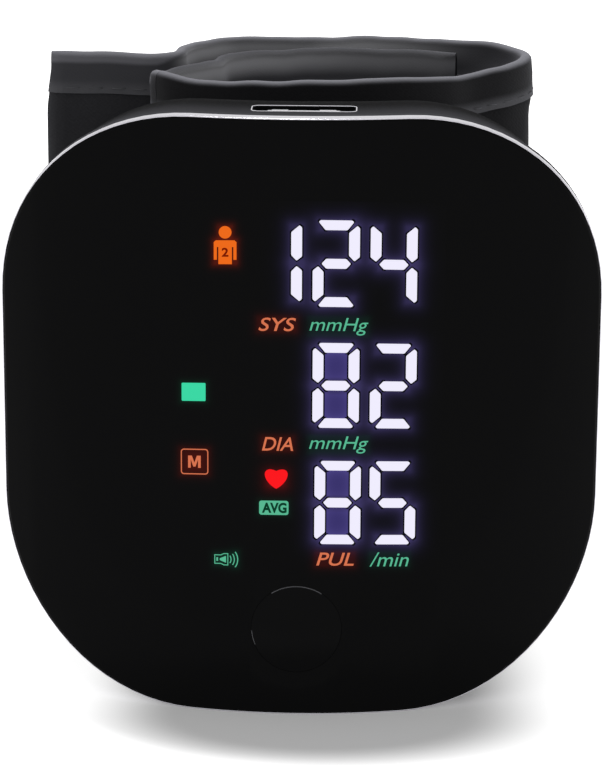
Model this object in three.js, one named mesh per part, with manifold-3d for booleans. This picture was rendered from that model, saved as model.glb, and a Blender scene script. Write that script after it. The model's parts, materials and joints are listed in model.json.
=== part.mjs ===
// Wrist blood pressure monitor: a curved housing with a lit display and one start button, on a fabric cuff.
// Millimetres, +Z up. The face looks along -Y and the cuff lies behind it, round an upright wrist axis.
import * as THREE from 'three';
import { mergeVertices } from 'three/addons/utils/BufferGeometryUtils.js';
import Module from 'manifold-3d';

const wasm = await Module();
wasm.setup();

// Fits shared by many pieces
const seatGap = 0.3;
const partingGap = 0.4;
const cutOver = 1;
const roundSides = 20;
const smallSides = 12;
const wristSides = 96;
const mergeTolerance = 1e-4;

// Face
const faceWidth = 70;
const faceHeight = 69.6;
const faceCornerRadius = 22.8;
const faceCurveRadius = 51;
const cornerSteps = 10;
const flatSteps = 6;

// Lens, trim ring and front frame
const lensThickness = 1.5;
const lensEdgeRound = 0.5;
const trimLip = 0.5;
const trimSetBack = 0.15;
const trimDepth = 3.5;
const trimLedge = 1.7;
const frameThickness = 1.2;
const frameSkirt = 4.6;
const frameSkirtWall = 1.4;

// Rear shell
const shellWall = 1.8;
const shellSetIn = 0.3;
const shellStraight = 12.5;
const shellRoundDepth = 15;
const shellRoundInset = 9;
const shellRoundSteps = 6;
const backDepth = 25;

// Charging slot and socket
const slotWidth = 12;
const slotDepth = 6;
const slotCornerRadius = 1;
const slotLip = 1;
const socketWidth = 9;
const socketThickness = 3.2;
const socketLength = 7.3;
const socketWall = 0.35;
const socketMouthDepth = 6.2;
const tongueWidth = 6.7;
const tongueThickness = 0.7;
const tongueSetIn = 1;

// Display
const displayWidth = 29.2;
const displaySocketGap = 0.7;
const filmThickness = 0.3;
const digitMiddleX = 4.3;
const digitPitch = 6.45;
const digitRowFoot = 3.5;
const digitRowHead = 0.6;
const digitWidth = 5.8;
const digitHeight = 10.4;

// Main board and what sits on it
const boardThickness = 1;
const boardWidth = 29.4;
const boardBottom = 4.2;
const chipSize = 7;
const chipThickness = 1.2;
const chipX = 9;
const sensorSize = 7;
const sensorThickness = 3.4;
const sensorNippleRadius = 1.1;
const switchSize = 6;
const switchThickness = 2.4;
const switchPlungerRadius = 1.5;

// Start button
const buttonHeight = 10.35;
const buttonRadius = 5.1;
const buttonFlangeRadius = 6.3;
const buttonFlangeThickness = 1;
const buttonStemRadius = 2;
const buttonTravel = 0.4;

// Battery and speaker
const batteryWidth = 27;
const batteryThickness = 5.6;
const batteryDrop = 8.8;
const batteryHeight = 34;
const speakerX = -19.2;
const speakerDrop = 7.8;
const speakerRadius = 6.6;
const speakerThickness = 3.6;
const speakerBackDepth = 24.2;
const speakerRimWall = 1.2;
const grilleHoleRadius = 0.7;
const grilleRingRadius = 3;
const grilleHoles = 6;

// Case screws
const caseScrewX = 18;
const caseScrewRise = 19.8;
const caseScrewRadius = 1.1;
const caseScrewHeadRadius = 2.1;
const caseScrewHeadHeight = 1.6;
const caseScrewLength = 13.5;
const caseScrewSeat = 22.5;
const postRadius = 3.1;
const bossRadius = 2.6;
const postFront = 17;

// Air pump, upright beside the battery
const pumpSideGap = 12.8;
const pumpY = 19.5;
const pumpRadius = 5.6;
const pumpCanWall = 0.5;
const pumpCanEnd = 1;
const pumpCanLength = 19;
const pumpHeadLength = 8.6;
const pumpHeadWall = 1;
const pumpCapLength = 3.4;
const pumpDrop = 15.8;
const rotorLength = 13;
const shaftRadius = 0.8;
const crankRadius = 2.6;
const crankThrow = 0.8;
const crankLength = 3;
const diaphragmThickness = 1.1;
const nippleRadius = 1.2;
const nippleBore = 0.6;
const nippleLength = 2.8;
const cradleWidth = 2.4;
const cradleSpacing = 11;

// Release valve on the other side
const valveSideGap = 10.8;
const valveY = 19.5;
const valveSpeakerGap = 0.6;
const valveWidth = 9.6;
const valveHeight = 11;
const valvePlate = 1.2;
const coilRadius = 3.6;
const plungerRadius = 1.4;
const plungerFlangeRadius = 2.6;
const plungerFlangeThickness = 0.8;
const plungerTravel = 0.6;
const springRadius = 2.1;
const springWire = 0.25;
const springTurns = 3;
const springPitch = 1;
const springStepsPerTurn = 8;
const springSides = 5;

// Air tee and hoses
const teeY = 20;
const teeWidth = 12;
const teeDepth = 4.6;
const teeHeight = 5;
const hoseRadius = 2;
const hoseBore = 1.4;
const hoseSides = 8;
const hoseSteps = 16;
const hoseLead = 3;
const hoseSway = 1.5;

// Cuff plate between the housing's back and the cuff
const plateThickness = 1.8;
const plateWidth = 22;
const plateHeight = 50;
const plateScrewRadius = 0.8;
const plateScrewHeadRadius = 1.8;
const plateScrewHeadHeight = 1.1;
const plateScrewLength = 4.2;
const plateScrewSpacing = 22;
const plateScrewRise = 2.8;
const plateBossRadius = 2.2;
const plateBossLength = 2;

// Cuff plies, from the outside to the wrist, and the binding along both edges
const coverThickness = 0.8;
const stiffenerThickness = 0.6;
const bladderThickness = 0.9;
const liningThickness = 0.8;
const plyGap = 0.15;
const bindingWidth = 5;
const bindingRound = 0.8;
const bladderInset = 3;
const hookPatchThickness = 0.6;
const flapTopDrop = 1.2;
const flapBottomRise = 0.6;
const splitGap = 0.4;
const frontSteps = 20;
const flapSteps = 26;
const strapSteps = 34;
const patchSteps = 12;
const routeDivisions = 40;

// Route of the cuff round the wrist: [degrees from the front towards +X, distance beyond the front's radius]
const foldAngle = -50;
const arcEndAngle = 62;
const arcStep = 14;
const bendStation = 1;
const strapStations = [
  [78, 2.4], [90, 4], [103, 3.9], [117, 2.8], [132, 0.6], [148, -2],
  [167, -4.9], [187, -5.8], [206, -6.2], [225, -6.5], [243, -6.7], [257, -6.5],
];
const flapFreeStation = 3.4;
const flapLaidStations = [4, 5, 6, 7, 8, 9, 10];
const flapStations = [[262, -11.2], [279, -9], [293, -3.9], [302, -1]];
const tailReach = 32.3;
const tailRun = [[-16, 0.7], [-18.6, -0.9], [-23, -1.1]];
const tailEndOffset = -1.1;
const patchStart = 0.4;
const patchEnd = 0.62;

// Depths behind the face that follow from the sizes above
const wristY = faceCurveRadius;
const middle = faceHeight / 2;
const frameFront = lensThickness + seatGap;
const frameBack = frameFront + frameThickness;
const shellFront = trimDepth + partingGap;
const slotY = shellFront + slotLip + slotDepth / 2;
const boardFront = slotY + socketThickness / 2 + seatGap / 2;
const boardBack = boardFront + boardThickness;
const rimDepth = shellStraight + shellRoundDepth;
const shellTopInside = faceHeight - shellSetIn - shellWall;
const socketTop = shellTopInside - seatGap;
const displayBottom = buttonHeight + buttonFlangeRadius + seatGap;
const displayTop = socketTop - socketLength - displaySocketGap;
const digitColumns = [-1, 0, 1].map((place) => digitMiddleX + place * digitPitch);
const digitLowRow = displayBottom + digitRowFoot + digitHeight / 2;
const digitHighRow = displayTop - digitRowHead - digitHeight / 2;
const digitRows = [digitLowRow, (digitLowRow + digitHighRow) / 2, digitHighRow];
const batteryBottom = middle - batteryDrop;
const speakerHeight = middle - speakerDrop;
const valveBottom = speakerHeight + speakerRadius + valveSpeakerGap;
const pumpCapBottom = middle - pumpDrop;
const pumpX = faceWidth / 2 - pumpSideGap;
const valveX = valveSideGap - faceWidth / 2;
const backRadius = wristY - backDepth;
const plateOuterRadius = backRadius - seatGap;
const plateInnerRadius = plateOuterRadius - plateThickness;
const bandThickness = coverThickness + stiffenerThickness + bladderThickness + liningThickness + 3 * plyGap;
const cuffRadius = plateInnerRadius - seatGap - bandThickness / 2;
const bandHeight = faceHeight;
const flapLay = bandThickness + hookPatchThickness + plyGap + seatGap;

// Materials
function finish(color, roughness, metalness) {
  return new THREE.MeshStandardMaterial({ color, roughness, metalness });
}
const glossBlack = finish(0x0b0b0d, 0.08, 0);
const trimSilver = finish(0xd4d3d8, 0.25, 0.9);
const shellBlack = finish(0x2c2c2f, 0.45, 0);
const innerGrey = finish(0x55585c, 0.6, 0);
const guideWhite = finish(0xf2f2ee, 0.6, 0);
const boardGreen = finish(0x1f5a3c, 0.5, 0);
const steel = finish(0xb9bcc0, 0.3, 1);
const copper = finish(0xb06a3a, 0.4, 1);
const chipBlack = finish(0x18181a, 0.5, 0);
const cellSilver = finish(0xa9adb3, 0.4, 0.6);
const rubber = finish(0x303234, 0.8, 0);
const hoseClear = finish(0xd9dccf, 0.4, 0);
const clothBlack = finish(0x1d1d1f, 0.95, 0);
const liningGrey = finish(0x37373a, 0.95, 0);
const bladderGrey = finish(0x8d9096, 0.6, 0);

// Solids

function toSolid(geometry) {
  const bare = geometry.clone();
  bare.deleteAttribute('normal');
  bare.deleteAttribute('uv');
  const merged = mergeVertices(bare, mergeTolerance);
  const vertProperties = new Float32Array(merged.attributes.position.array);
  const triVerts = new Uint32Array(merged.index.array);
  return new wasm.Manifold(new wasm.Mesh({ numProp: 3, vertProperties, triVerts }));
}

function toGeometry(solid) {
  const mesh = solid.getMesh();
  const geometry = new THREE.BufferGeometry();
  geometry.setAttribute('position', new THREE.BufferAttribute(new Float32Array(mesh.vertProperties), 3));
  geometry.setIndex(new THREE.BufferAttribute(new Uint32Array(mesh.triVerts), 1));
  geometry.computeVertexNormals();
  return geometry;
}

function box([x0, x1], [y0, y1], [z0, z1]) {
  const geometry = new THREE.BoxGeometry(x1 - x0, y1 - y0, z1 - z0);
  geometry.translate((x0 + x1) / 2, (y0 + y1) / 2, (z0 + z1) / 2);
  return toSolid(geometry);
}

function rodX(y, z, radius, [x0, x1], sides = smallSides) {
  const geometry = new THREE.CylinderGeometry(radius, radius, x1 - x0, sides);
  geometry.rotateZ(-Math.PI / 2);
  geometry.translate((x0 + x1) / 2, y, z);
  return toSolid(geometry);
}

function rodY(x, z, radius, [y0, y1], sides = smallSides) {
  const geometry = new THREE.CylinderGeometry(radius, radius, y1 - y0, sides);
  geometry.translate(x, (y0 + y1) / 2, z);
  return toSolid(geometry);
}

function rodZ(x, y, radius, [z0, z1], sides = smallSides) {
  const geometry = new THREE.CylinderGeometry(radius, radius, z1 - z0, sides);
  geometry.rotateX(Math.PI / 2);
  geometry.translate(x, y, (z0 + z1) / 2);
  return toSolid(geometry);
}

// Set-back of the curved face at a distance from its middle
function sag(x) {
  return faceCurveRadius - Math.sqrt(faceCurveRadius ** 2 - x ** 2);
}

// The face's outline drawn in by an inset, as [x, half height] columns from left to right
function outlineColumns(inset) {
  const radius = faceCornerRadius - inset;
  const straightX = faceWidth / 2 - faceCornerRadius;
  const straightZ = faceHeight / 2 - faceCornerRadius;
  const corner = [];
  for (let i = 0; i <= cornerSteps; i += 1) {
    const angle = (Math.PI / 2) * (i / cornerSteps);
    corner.push([straightX + radius * Math.cos(angle), straightZ + radius * Math.sin(angle)]);
  }
  const flat = [];
  for (let i = 1; i < flatSteps; i += 1) {
    flat.push([straightX * ((2 * i) / flatSteps - 1), straightZ + radius]);
  }
  return [...corner.map(([x, h]) => [-x, h]), ...flat, ...corner.reverse()];
}

// Body between outlines [depth, inset], each bent to the face's curve
function curvedSlab(rings) {
  const position = [];
  const index = [];
  let columns = 0;
  for (const [depth, inset] of rings) {
    const outline = outlineColumns(inset);
    columns = outline.length;
    for (const [x, h] of outline) position.push(x, depth + sag(x), middle + h);
    for (const [x, h] of outline.reverse()) position.push(x, depth + sag(x), middle - h);
  }
  const loop = 2 * columns;
  for (let ring = 0; ring + 1 < rings.length; ring += 1) {
    for (let i = 0; i < loop; i += 1) {
      const a = ring * loop + i;
      const b = ring * loop + ((i + 1) % loop);
      index.push(a, b, b + loop, a, b + loop, a + loop);
    }
  }
  const last = (rings.length - 1) * loop;
  for (let i = 0; i + 1 < columns; i += 1) {
    const under = loop - 1 - i;
    index.push(i, under, under - 1, i, under - 1, i + 1);
    index.push(last + i, last + under - 1, last + under, last + i, last + i + 1, last + under - 1);
  }
  const geometry = new THREE.BufferGeometry();
  geometry.setAttribute('position', new THREE.Float32BufferAttribute(position, 3));
  geometry.setIndex(index);
  return toSolid(geometry);
}

// Upright cylinder round the wrist axis
function wristCylinder(radius) {
  return rodZ(0, wristY, radius, [-cutOver, faceHeight + cutOver], wristSides);
}

// Curved sheet round the wrist axis on the housing's side of it
function wristSheet(outer, inner, halfWidth, [z0, z1]) {
  const front = box([-halfWidth, halfWidth], [0, wristY], [z0, z1]);
  return wristCylinder(outer).subtract(wristCylinder(inner)).intersect(front);
}

// Assembly

const group = new THREE.Group();

function addPart(name, solid, material) {
  const mesh = new THREE.Mesh(toGeometry(solid), material);
  mesh.name = name;
  group.add(mesh);
}

// Lens with a rounded edge and a hole for the button
function frontLens() {
  const inset = trimLip + seatGap;
  const lens = curvedSlab([
    [0, inset + lensEdgeRound], [lensEdgeRound / 2, inset + lensEdgeRound / 6], [lensEdgeRound, inset],
    [lensThickness, inset],
  ]);
  const hole = rodY(0, buttonHeight, buttonRadius + seatGap, [-cutOver, frameBack], roundSides);
  return lens.subtract(hole);
}

// Ring round the lens with a ledge behind it
function trimRing() {
  const ledgeFront = lensThickness + seatGap / 2;
  return curvedSlab([[trimSetBack, 0], [trimDepth, 0]])
    .subtract(curvedSlab([[-cutOver, trimLip], [ledgeFront, trimLip]]))
    .subtract(curvedSlab([[0, trimLip + trimLedge], [trimDepth + cutOver, trimLip + trimLedge]]));
}

const frameInset = trimLip + trimLedge + seatGap;
const skirtInset = frameInset + frameSkirtWall;
const caseScrewPlaces = [[-1, -1], [1, -1], [-1, 1], [1, 1]].map(
  ([side, level]) => [side * caseScrewX, middle + level * caseScrewRise],
);
const caseScrewTip = caseScrewSeat + seatGap - caseScrewLength;

// Frame behind the lens: a curved plate with a skirt, the display window and four screw bosses
function frontFrame() {
  const skirtBack = frameBack + frameSkirt;
  let frame = curvedSlab([[frameFront, frameInset], [skirtBack, frameInset]])
    .subtract(curvedSlab([[frameBack, skirtInset], [skirtBack + cutOver, skirtInset]]));
  const behindLens = curvedSlab([[frameFront + seatGap, 0], [rimDepth, 0]]);
  for (const [x, z] of caseScrewPlaces) {
    frame = frame.add(rodY(x, z, bossRadius, [0, postFront - seatGap]).intersect(behindLens));
  }
  for (const [x, z] of caseScrewPlaces) {
    frame = frame.subtract(rodY(x, z, caseScrewRadius + seatGap / 2, [caseScrewTip - seatGap, postFront]));
  }
  const windowHalf = displayWidth / 2 + seatGap;
  const windowHeights = [displayBottom - seatGap, displayTop + seatGap];
  const socketHalf = slotWidth / 2 + seatGap;
  const boardHalf = boardWidth / 2 + seatGap;
  const boardHeights = [boardBottom - seatGap, shellTopInside];
  return frame
    .subtract(box([-windowHalf, windowHalf], [0, boardFront], windowHeights))
    .subtract(box([-socketHalf, socketHalf], [frameBack + seatGap, wristY], [displayTop, faceHeight]))
    .subtract(rodY(0, buttonHeight, buttonRadius + seatGap, [0, frameBack + seatGap], roundSides))
    .subtract(box([-boardHalf, boardHalf], [boardFront - seatGap, wristY], boardHeights));
}

// Part of the housing between two depths behind the face, inside the display's width
function displaySlice(front, back) {
  const half = displayWidth / 2;
  return curvedSlab([[front, frameInset], [back, frameInset]])
    .intersect(box([-half, half], [0, wristY], [displayBottom, displayTop]));
}

const filmFront = frameFront;
const guideFront = filmFront + filmThickness + seatGap / 2;

// White block that carries the light, with a chamber behind each digit
function lightGuide() {
  const half = displayWidth / 2;
  const guideBack = boardFront - seatGap;
  let guide = displaySlice(guideFront, rimDepth)
    .intersect(box([-half, half], [0, guideBack], [displayBottom, displayTop]));
  for (const x of digitColumns) {
    for (const z of digitRows) {
      guide = guide.subtract(box([x - digitWidth / 2, x + digitWidth / 2], [0, boardFront],
        [z - digitHeight / 2, z + digitHeight / 2]));
    }
  }
  return guide;
}

// Outlines of the rear shell, drawn in further by an inset and shortened at the back
function shellRings(inset, front, shortening) {
  const rings = [[front, shellSetIn + inset], [shellStraight, shellSetIn + inset]];
  for (let i = 1; i <= shellRoundSteps; i += 1) {
    const angle = (Math.PI / 2) * (i / shellRoundSteps);
    rings.push([
      shellStraight + (shellRoundDepth - shortening) * Math.sin(angle),
      shellSetIn + inset + shellRoundInset * (1 - Math.cos(angle)),
    ]);
  }
  return rings;
}

const teeHeightMiddle = pumpCapBottom + pumpCapLength / 2;
const plateScrewHeights = [-1, 1].map((level) => middle + plateScrewRise + (level * plateScrewSpacing) / 2);

// Rear shell with a hollow back, screw posts, cradles for the pump and valve, and the speaker's rim
function rearShell() {
  const outside = curvedSlab(shellRings(0, shellFront, 0)).subtract(wristCylinder(backRadius));
  const inside = curvedSlab(shellRings(shellWall, shellFront - cutOver, shellWall))
    .subtract(wristCylinder(backRadius + shellWall));
  const rimSpan = [speakerBackDepth + seatGap, wristY];
  const rimInside = speakerRadius - speakerRimWall;
  let fittings = rodY(speakerX, speakerHeight, speakerRadius, rimSpan, roundSides)
    .subtract(rodY(speakerX, speakerHeight, rimInside, [0, wristY], roundSides));
  for (const [x, z] of caseScrewPlaces) {
    fittings = fittings.add(rodY(x, z, postRadius, [postFront, wristY]));
  }
  const cradleMiddle = pumpCapBottom + pumpCapLength + pumpHeadLength + pumpCanLength / 2;
  const cradleHollow = rodZ(pumpX, pumpY, pumpRadius + seatGap, [0, faceHeight], roundSides);
  for (const level of [-1, 1]) {
    const z = cradleMiddle + (level * cradleSpacing) / 2;
    const cradle = box([pumpX - pumpRadius, pumpX + pumpRadius], [pumpY, wristY],
      [z - cradleWidth / 2, z + cradleWidth / 2]);
    fittings = fittings.add(cradle.subtract(cradleHollow));
  }
  const valveBack = valveY + valveWidth / 2 + seatGap;
  fittings = fittings.add(box([valveX - valveWidth / 4, valveX + valveWidth / 4], [valveBack, wristY],
    [valveBottom, valveBottom + valveHeight]));
  for (const z of plateScrewHeights) {
    const bossFront = backDepth - shellWall - plateBossLength;
    fittings = fittings.add(rodY(0, z, plateBossRadius, [bossFront, backDepth]));
  }
  let shell = outside.subtract(inside).add(fittings.intersect(outside));
  for (const [x, z] of caseScrewPlaces) {
    shell = shell
      .subtract(rodY(x, z, caseScrewRadius + seatGap, [0, wristY]))
      .subtract(rodY(x, z, caseScrewHeadRadius + seatGap, [caseScrewSeat, wristY]));
  }
  for (const z of plateScrewHeights) {
    shell = shell.subtract(rodY(0, z, plateScrewRadius + seatGap / 2, [0, wristY]));
  }
  shell = shell.subtract(rodY(0, teeHeightMiddle, nippleRadius + seatGap, [teeY, wristY]));
  for (let i = 0; i < grilleHoles; i += 1) {
    const angle = (2 * Math.PI * i) / grilleHoles;
    const x = speakerX + grilleRingRadius * Math.cos(angle);
    const z = speakerHeight + grilleRingRadius * Math.sin(angle);
    shell = shell.subtract(rodY(x, z, grilleHoleRadius, [speakerBackDepth, wristY], hoseSides));
  }
  return shell.subtract(chargingSlot());
}

// Rounded slot through the top wall for the plug
function chargingSlot() {
  const endX = slotWidth / 2;
  const endY = slotDepth / 2;
  const straightX = endX - slotCornerRadius;
  const straightY = endY - slotCornerRadius;
  const depth = [shellTopInside - cutOver, faceHeight + cutOver];
  let slot = box([-endX, endX], [slotY - straightY, slotY + straightY], depth)
    .add(box([-straightX, straightX], [slotY - endY, slotY + endY], depth));
  for (const x of [-straightX, straightX]) {
    for (const y of [slotY - straightY, slotY + straightY]) {
      slot = slot.add(rodZ(x, y, slotCornerRadius, depth, roundSides));
    }
  }
  return slot;
}

// Socket with a tongue, open at the top
function usbSocket() {
  const half = socketWidth / 2;
  const front = slotY - socketThickness / 2;
  const back = slotY + socketThickness / 2;
  const mouth = [socketTop - socketMouthDepth, socketTop + cutOver];
  return box([-half, half], [front, back], [socketTop - socketLength, socketTop])
    .subtract(box([socketWall - half, half - socketWall], [front + socketWall, back - socketWall], mouth))
    .add(box([-tongueWidth / 2, tongueWidth / 2],
      [slotY - tongueThickness / 2, slotY + tongueThickness / 2],
      [socketTop - socketLength, socketTop - tongueSetIn]));
}

const flangeFront = frameBack + seatGap;
const stemBack = boardFront - seatGap - switchThickness - buttonTravel - seatGap;

// Button cap, flush with the lens, with a flange that holds it behind the frame
function startButton() {
  const cap = rodY(0, buttonHeight, buttonRadius, [-cutOver, flangeFront + buttonFlangeThickness], roundSides)
    .intersect(curvedSlab([[0, 0], [rimDepth, 0]]));
  const flatFront = flangeFront + sag(buttonFlangeRadius);
  const flangeSpan = [flatFront, flatFront + buttonFlangeThickness];
  const flange = rodY(0, buttonHeight, buttonFlangeRadius, flangeSpan, roundSides)
    .intersect(box([-faceWidth, faceWidth], [0, wristY], [skirtInset + seatGap, faceHeight]));
  return cap.add(flange).add(rodY(0, buttonHeight, buttonStemRadius, [flangeFront, stemBack]));
}

// Push switch under the button: a base with a well and the plunger in it
const switchBack = boardFront - seatGap / 2;
const switchWellFloor = boardFront - seatGap;
function tactSwitch() {
  const half = switchSize / 2;
  const heights = [buttonHeight - half, buttonHeight + half];
  return box([-half, half], [switchBack - switchThickness, switchBack], heights)
    .subtract(rodY(0, buttonHeight, switchPlungerRadius + seatGap, [0, switchWellFloor]));
}
function switchPlunger() {
  const tip = switchWellFloor - buttonTravel - plyGap;
  return rodY(0, buttonHeight, switchPlungerRadius, [stemBack + plyGap, tip]);
}

// Pressure sensor with its nipple towards the tee
const sensorBack = boardBack + plyGap + sensorThickness;
const teeFront = teeY - teeDepth / 2;
const sleeveMiddle = (sensorBack + teeFront) / 2;
function pressureSensor() {
  const half = sensorSize / 2;
  const heights = [teeHeightMiddle - half, teeHeightMiddle + half];
  const nippleSpan = [sensorBack - plyGap, sleeveMiddle - plyGap];
  return box([-half, half], [boardBack + plyGap, sensorBack], heights)
    .add(rodY(0, teeHeightMiddle, sensorNippleRadius, nippleSpan));
}

// Air tee: a block with stubs to the sensor, the pump and the valve, bored through to the back
const teeStubLeft = -teeWidth / 2 + hoseRadius;
const teeTop = teeHeightMiddle + teeHeight / 2;
function airTee() {
  const half = teeWidth / 2;
  return box([-half, half], [teeFront, teeY + teeDepth / 2], [teeTop - teeHeight, teeTop])
    .add(rodY(0, teeHeightMiddle, sensorNippleRadius, [sleeveMiddle + plyGap, teeY]))
    .add(rodX(teeY, teeHeightMiddle, nippleRadius, [0, half + nippleLength]))
    .add(rodZ(teeStubLeft, teeY, nippleRadius, [teeHeightMiddle, teeTop + nippleLength]))
    .subtract(rodX(teeY, teeHeightMiddle, nippleBore, [0, half + nippleLength + cutOver], hoseSides))
    .subtract(rodY(0, teeHeightMiddle, nippleBore, [0, wristY], hoseSides));
}

// Hose along points, with its bore
function hose(points, steps) {
  const section = new THREE.Shape();
  section.absarc(0, 0, hoseRadius, 0, 2 * Math.PI);
  const bore = new THREE.Path();
  bore.absarc(0, 0, hoseBore, 0, 2 * Math.PI, true);
  section.holes.push(bore);
  const route = points.map(([x, y, z]) => new THREE.Vector3(x, y, z));
  const extrudePath = new THREE.CatmullRomCurve3(route, false, 'centripetal');
  return toSolid(new THREE.ExtrudeGeometry(section, { steps, curveSegments: hoseSides / 2, extrudePath }));
}

// Pump parts, from the bottom: end cap with nipple, diaphragm, head, can, and the turning rotor and crank
const pumpHeadBottom = pumpCapBottom + pumpCapLength + seatGap;
const pumpHeadTop = pumpHeadBottom + pumpHeadLength;
const pumpCanBottom = pumpHeadTop + seatGap;
const pumpCanTop = pumpCanBottom + pumpCanLength;
const pumpNippleTip = pumpX - pumpRadius - nippleLength;
function pumpCap() {
  return rodZ(pumpX, pumpY, pumpRadius, [pumpCapBottom, pumpCapBottom + pumpCapLength], roundSides)
    .add(rodX(teeY, teeHeightMiddle, nippleRadius, [pumpNippleTip, pumpX]))
    .subtract(rodX(teeY, teeHeightMiddle, nippleBore, [pumpNippleTip - cutOver, pumpX], hoseSides));
}
function pumpDiaphragm() {
  return rodZ(pumpX, pumpY, pumpRadius - pumpHeadWall - seatGap,
    [pumpHeadBottom, pumpHeadBottom + diaphragmThickness], roundSides);
}
function pumpHead() {
  return rodZ(pumpX, pumpY, pumpRadius, [pumpHeadBottom, pumpHeadTop], roundSides)
    .subtract(rodZ(pumpX, pumpY, pumpRadius - pumpHeadWall, [0, pumpHeadTop - pumpHeadWall], roundSides))
    .subtract(rodZ(pumpX, pumpY, shaftRadius + seatGap, [0, faceHeight]));
}
function pumpCan() {
  return rodZ(pumpX, pumpY, pumpRadius, [pumpCanBottom, pumpCanTop], roundSides)
    .subtract(rodZ(pumpX, pumpY, pumpRadius - pumpCanWall, [0, pumpCanTop - pumpCanEnd], roundSides));
}
const shaftBottom = pumpHeadBottom + diaphragmThickness + seatGap;
const shaftTop = pumpCanTop - pumpCanEnd - seatGap;
function pumpRotor() {
  const rotorMiddle = (pumpCanBottom + shaftTop) / 2;
  const rotorEnds = [rotorMiddle - rotorLength / 2, rotorMiddle + rotorLength / 2];
  return rodZ(pumpX, pumpY, pumpRadius - pumpCanWall - seatGap, rotorEnds, roundSides)
    .add(rodZ(pumpX, pumpY, shaftRadius, [shaftBottom, shaftTop]));
}
function pumpCrank() {
  const bottom = shaftBottom + seatGap;
  return rodZ(pumpX + crankThrow, pumpY, crankRadius, [bottom, bottom + crankLength])
    .subtract(rodZ(pumpX, pumpY, shaftRadius + plyGap, [0, faceHeight]));
}

// Release valve parts
const valveTop = valveBottom + valveHeight;
const valveNippleHeight = valveBottom + valveHeight / 2;
const valveNippleTip = valveX + valveWidth / 2 + nippleLength;
function valveYoke() {
  const half = valveWidth / 2;
  const boreSpan = [valveX + coilRadius, valveNippleTip + cutOver];
  return box([valveX - half, valveX + half], [valveY - half, valveY + half], [valveBottom, valveTop])
    .subtract(box([valveX - half + valvePlate, valveX + half - valvePlate], [0, wristY],
      [valveBottom + valvePlate, valveTop - valvePlate]))
    .subtract(rodZ(valveX, valveY, plungerRadius + seatGap, [valveNippleHeight, faceHeight]))
    .add(rodX(valveY, valveNippleHeight, nippleRadius, [valveX + half - valvePlate, valveNippleTip]))
    .subtract(rodX(valveY, valveNippleHeight, nippleBore, boreSpan, hoseSides));
}
function valveCoil() {
  const ends = [valveBottom + valvePlate + seatGap, valveTop - valvePlate - seatGap];
  return rodZ(valveX, valveY, coilRadius, ends, roundSides)
    .subtract(rodZ(valveX, valveY, plungerRadius + seatGap, [0, faceHeight]));
}
const springBottom = valveTop + seatGap;
const springTop = springBottom + springTurns * springPitch + 2 * springWire;
const plungerFlangeBottom = springTop + plungerTravel + seatGap;
function valvePlunger() {
  const bottom = valveBottom + valvePlate + plungerTravel + seatGap;
  const top = plungerFlangeBottom + plungerFlangeThickness;
  return rodZ(valveX, valveY, plungerRadius, [bottom, top])
    .add(rodZ(valveX, valveY, plungerFlangeRadius, [plungerFlangeBottom, top]));
}

class Helix extends THREE.Curve {
  getPoint(t, target = new THREE.Vector3()) {
    const angle = 2 * Math.PI * springTurns * t;
    const height = springBottom + springWire + springTurns * springPitch * t;
    const x = valveX + springRadius * Math.cos(angle);
    return target.set(x, valveY + springRadius * Math.sin(angle), height);
  }
}
function valveSpring() {
  const section = new THREE.Shape();
  for (let i = 0; i < springSides; i += 1) {
    const angle = (2 * Math.PI * i) / springSides;
    const corner = [springWire * Math.cos(angle), springWire * Math.sin(angle)];
    if (i === 0) section.moveTo(...corner);
    else section.lineTo(...corner);
  }
  const steps = springTurns * springStepsPerTurn;
  return toSolid(new THREE.ExtrudeGeometry(section, { steps, extrudePath: new Helix() }));
}

// Least gap between the spring's turns, measured on points along its wire
function leastSpringGap() {
  const points = new Helix().getPoints(springTurns * springStepsPerTurn);
  const halfTurn = springStepsPerTurn / 2;
  let least = Infinity;
  points.forEach((point, i) => {
    for (const other of points.slice(i + halfTurn)) least = Math.min(least, point.distanceTo(other));
  });
  return least - 2 * springWire;
}
console.log(`valve spring: least gap between its turns ${leastSpringGap().toFixed(2)} mm`);

// Cuff plate in the hollow of the housing's back
const plateBottom = middle - plateHeight / 2;
const plateInnerY = wristY - plateInnerRadius;
const plateScrewSeat = plateInnerY - plateScrewHeadHeight - seatGap;
function cuffPlate() {
  const heights = [plateBottom, plateBottom + plateHeight];
  let plate = wristSheet(plateOuterRadius, plateInnerRadius, plateWidth / 2, heights)
    .subtract(rodY(0, teeHeightMiddle, nippleRadius + seatGap, [0, wristY]));
  for (const z of plateScrewHeights) {
    plate = plate
      .subtract(rodY(0, z, plateScrewRadius + seatGap, [0, wristY]))
      .subtract(rodY(0, z, plateScrewHeadRadius + seatGap, [plateScrewSeat - seatGap / 2, wristY]));
  }
  return plate;
}
function plateScrew(z) {
  const headBack = plateScrewSeat + plateScrewHeadHeight;
  return rodY(0, z, plateScrewHeadRadius, [plateScrewSeat, headBack])
    .add(rodY(0, z, plateScrewRadius, [plateScrewSeat - plateScrewLength, headBack]));
}
function caseScrew(x, z) {
  const seat = caseScrewSeat + seatGap;
  return rodY(x, z, caseScrewHeadRadius, [seat, seat + caseScrewHeadHeight])
    .add(rodY(x, z, caseScrewRadius, [caseScrewTip, seat + caseScrewHeadHeight]));
}

// Cuff route: the flap's free end, the left fold, the front, the right bend, the strap and the tail

function roundWrist(degrees, radius) {
  const angle = THREE.MathUtils.degToRad(degrees);
  return new THREE.Vector3(radius * Math.sin(angle), wristY - radius * Math.cos(angle), 0);
}
function stationPoints(stations) {
  return stations.map(([degrees, beyond]) => roundWrist(degrees, cuffRadius + beyond));
}
function smoothCurve(points) {
  const curve = new THREE.CatmullRomCurve3(points, false, 'centripetal');
  curve.arcLengthDivisions = routeDivisions * (points.length - 1);
  return curve;
}

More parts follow.
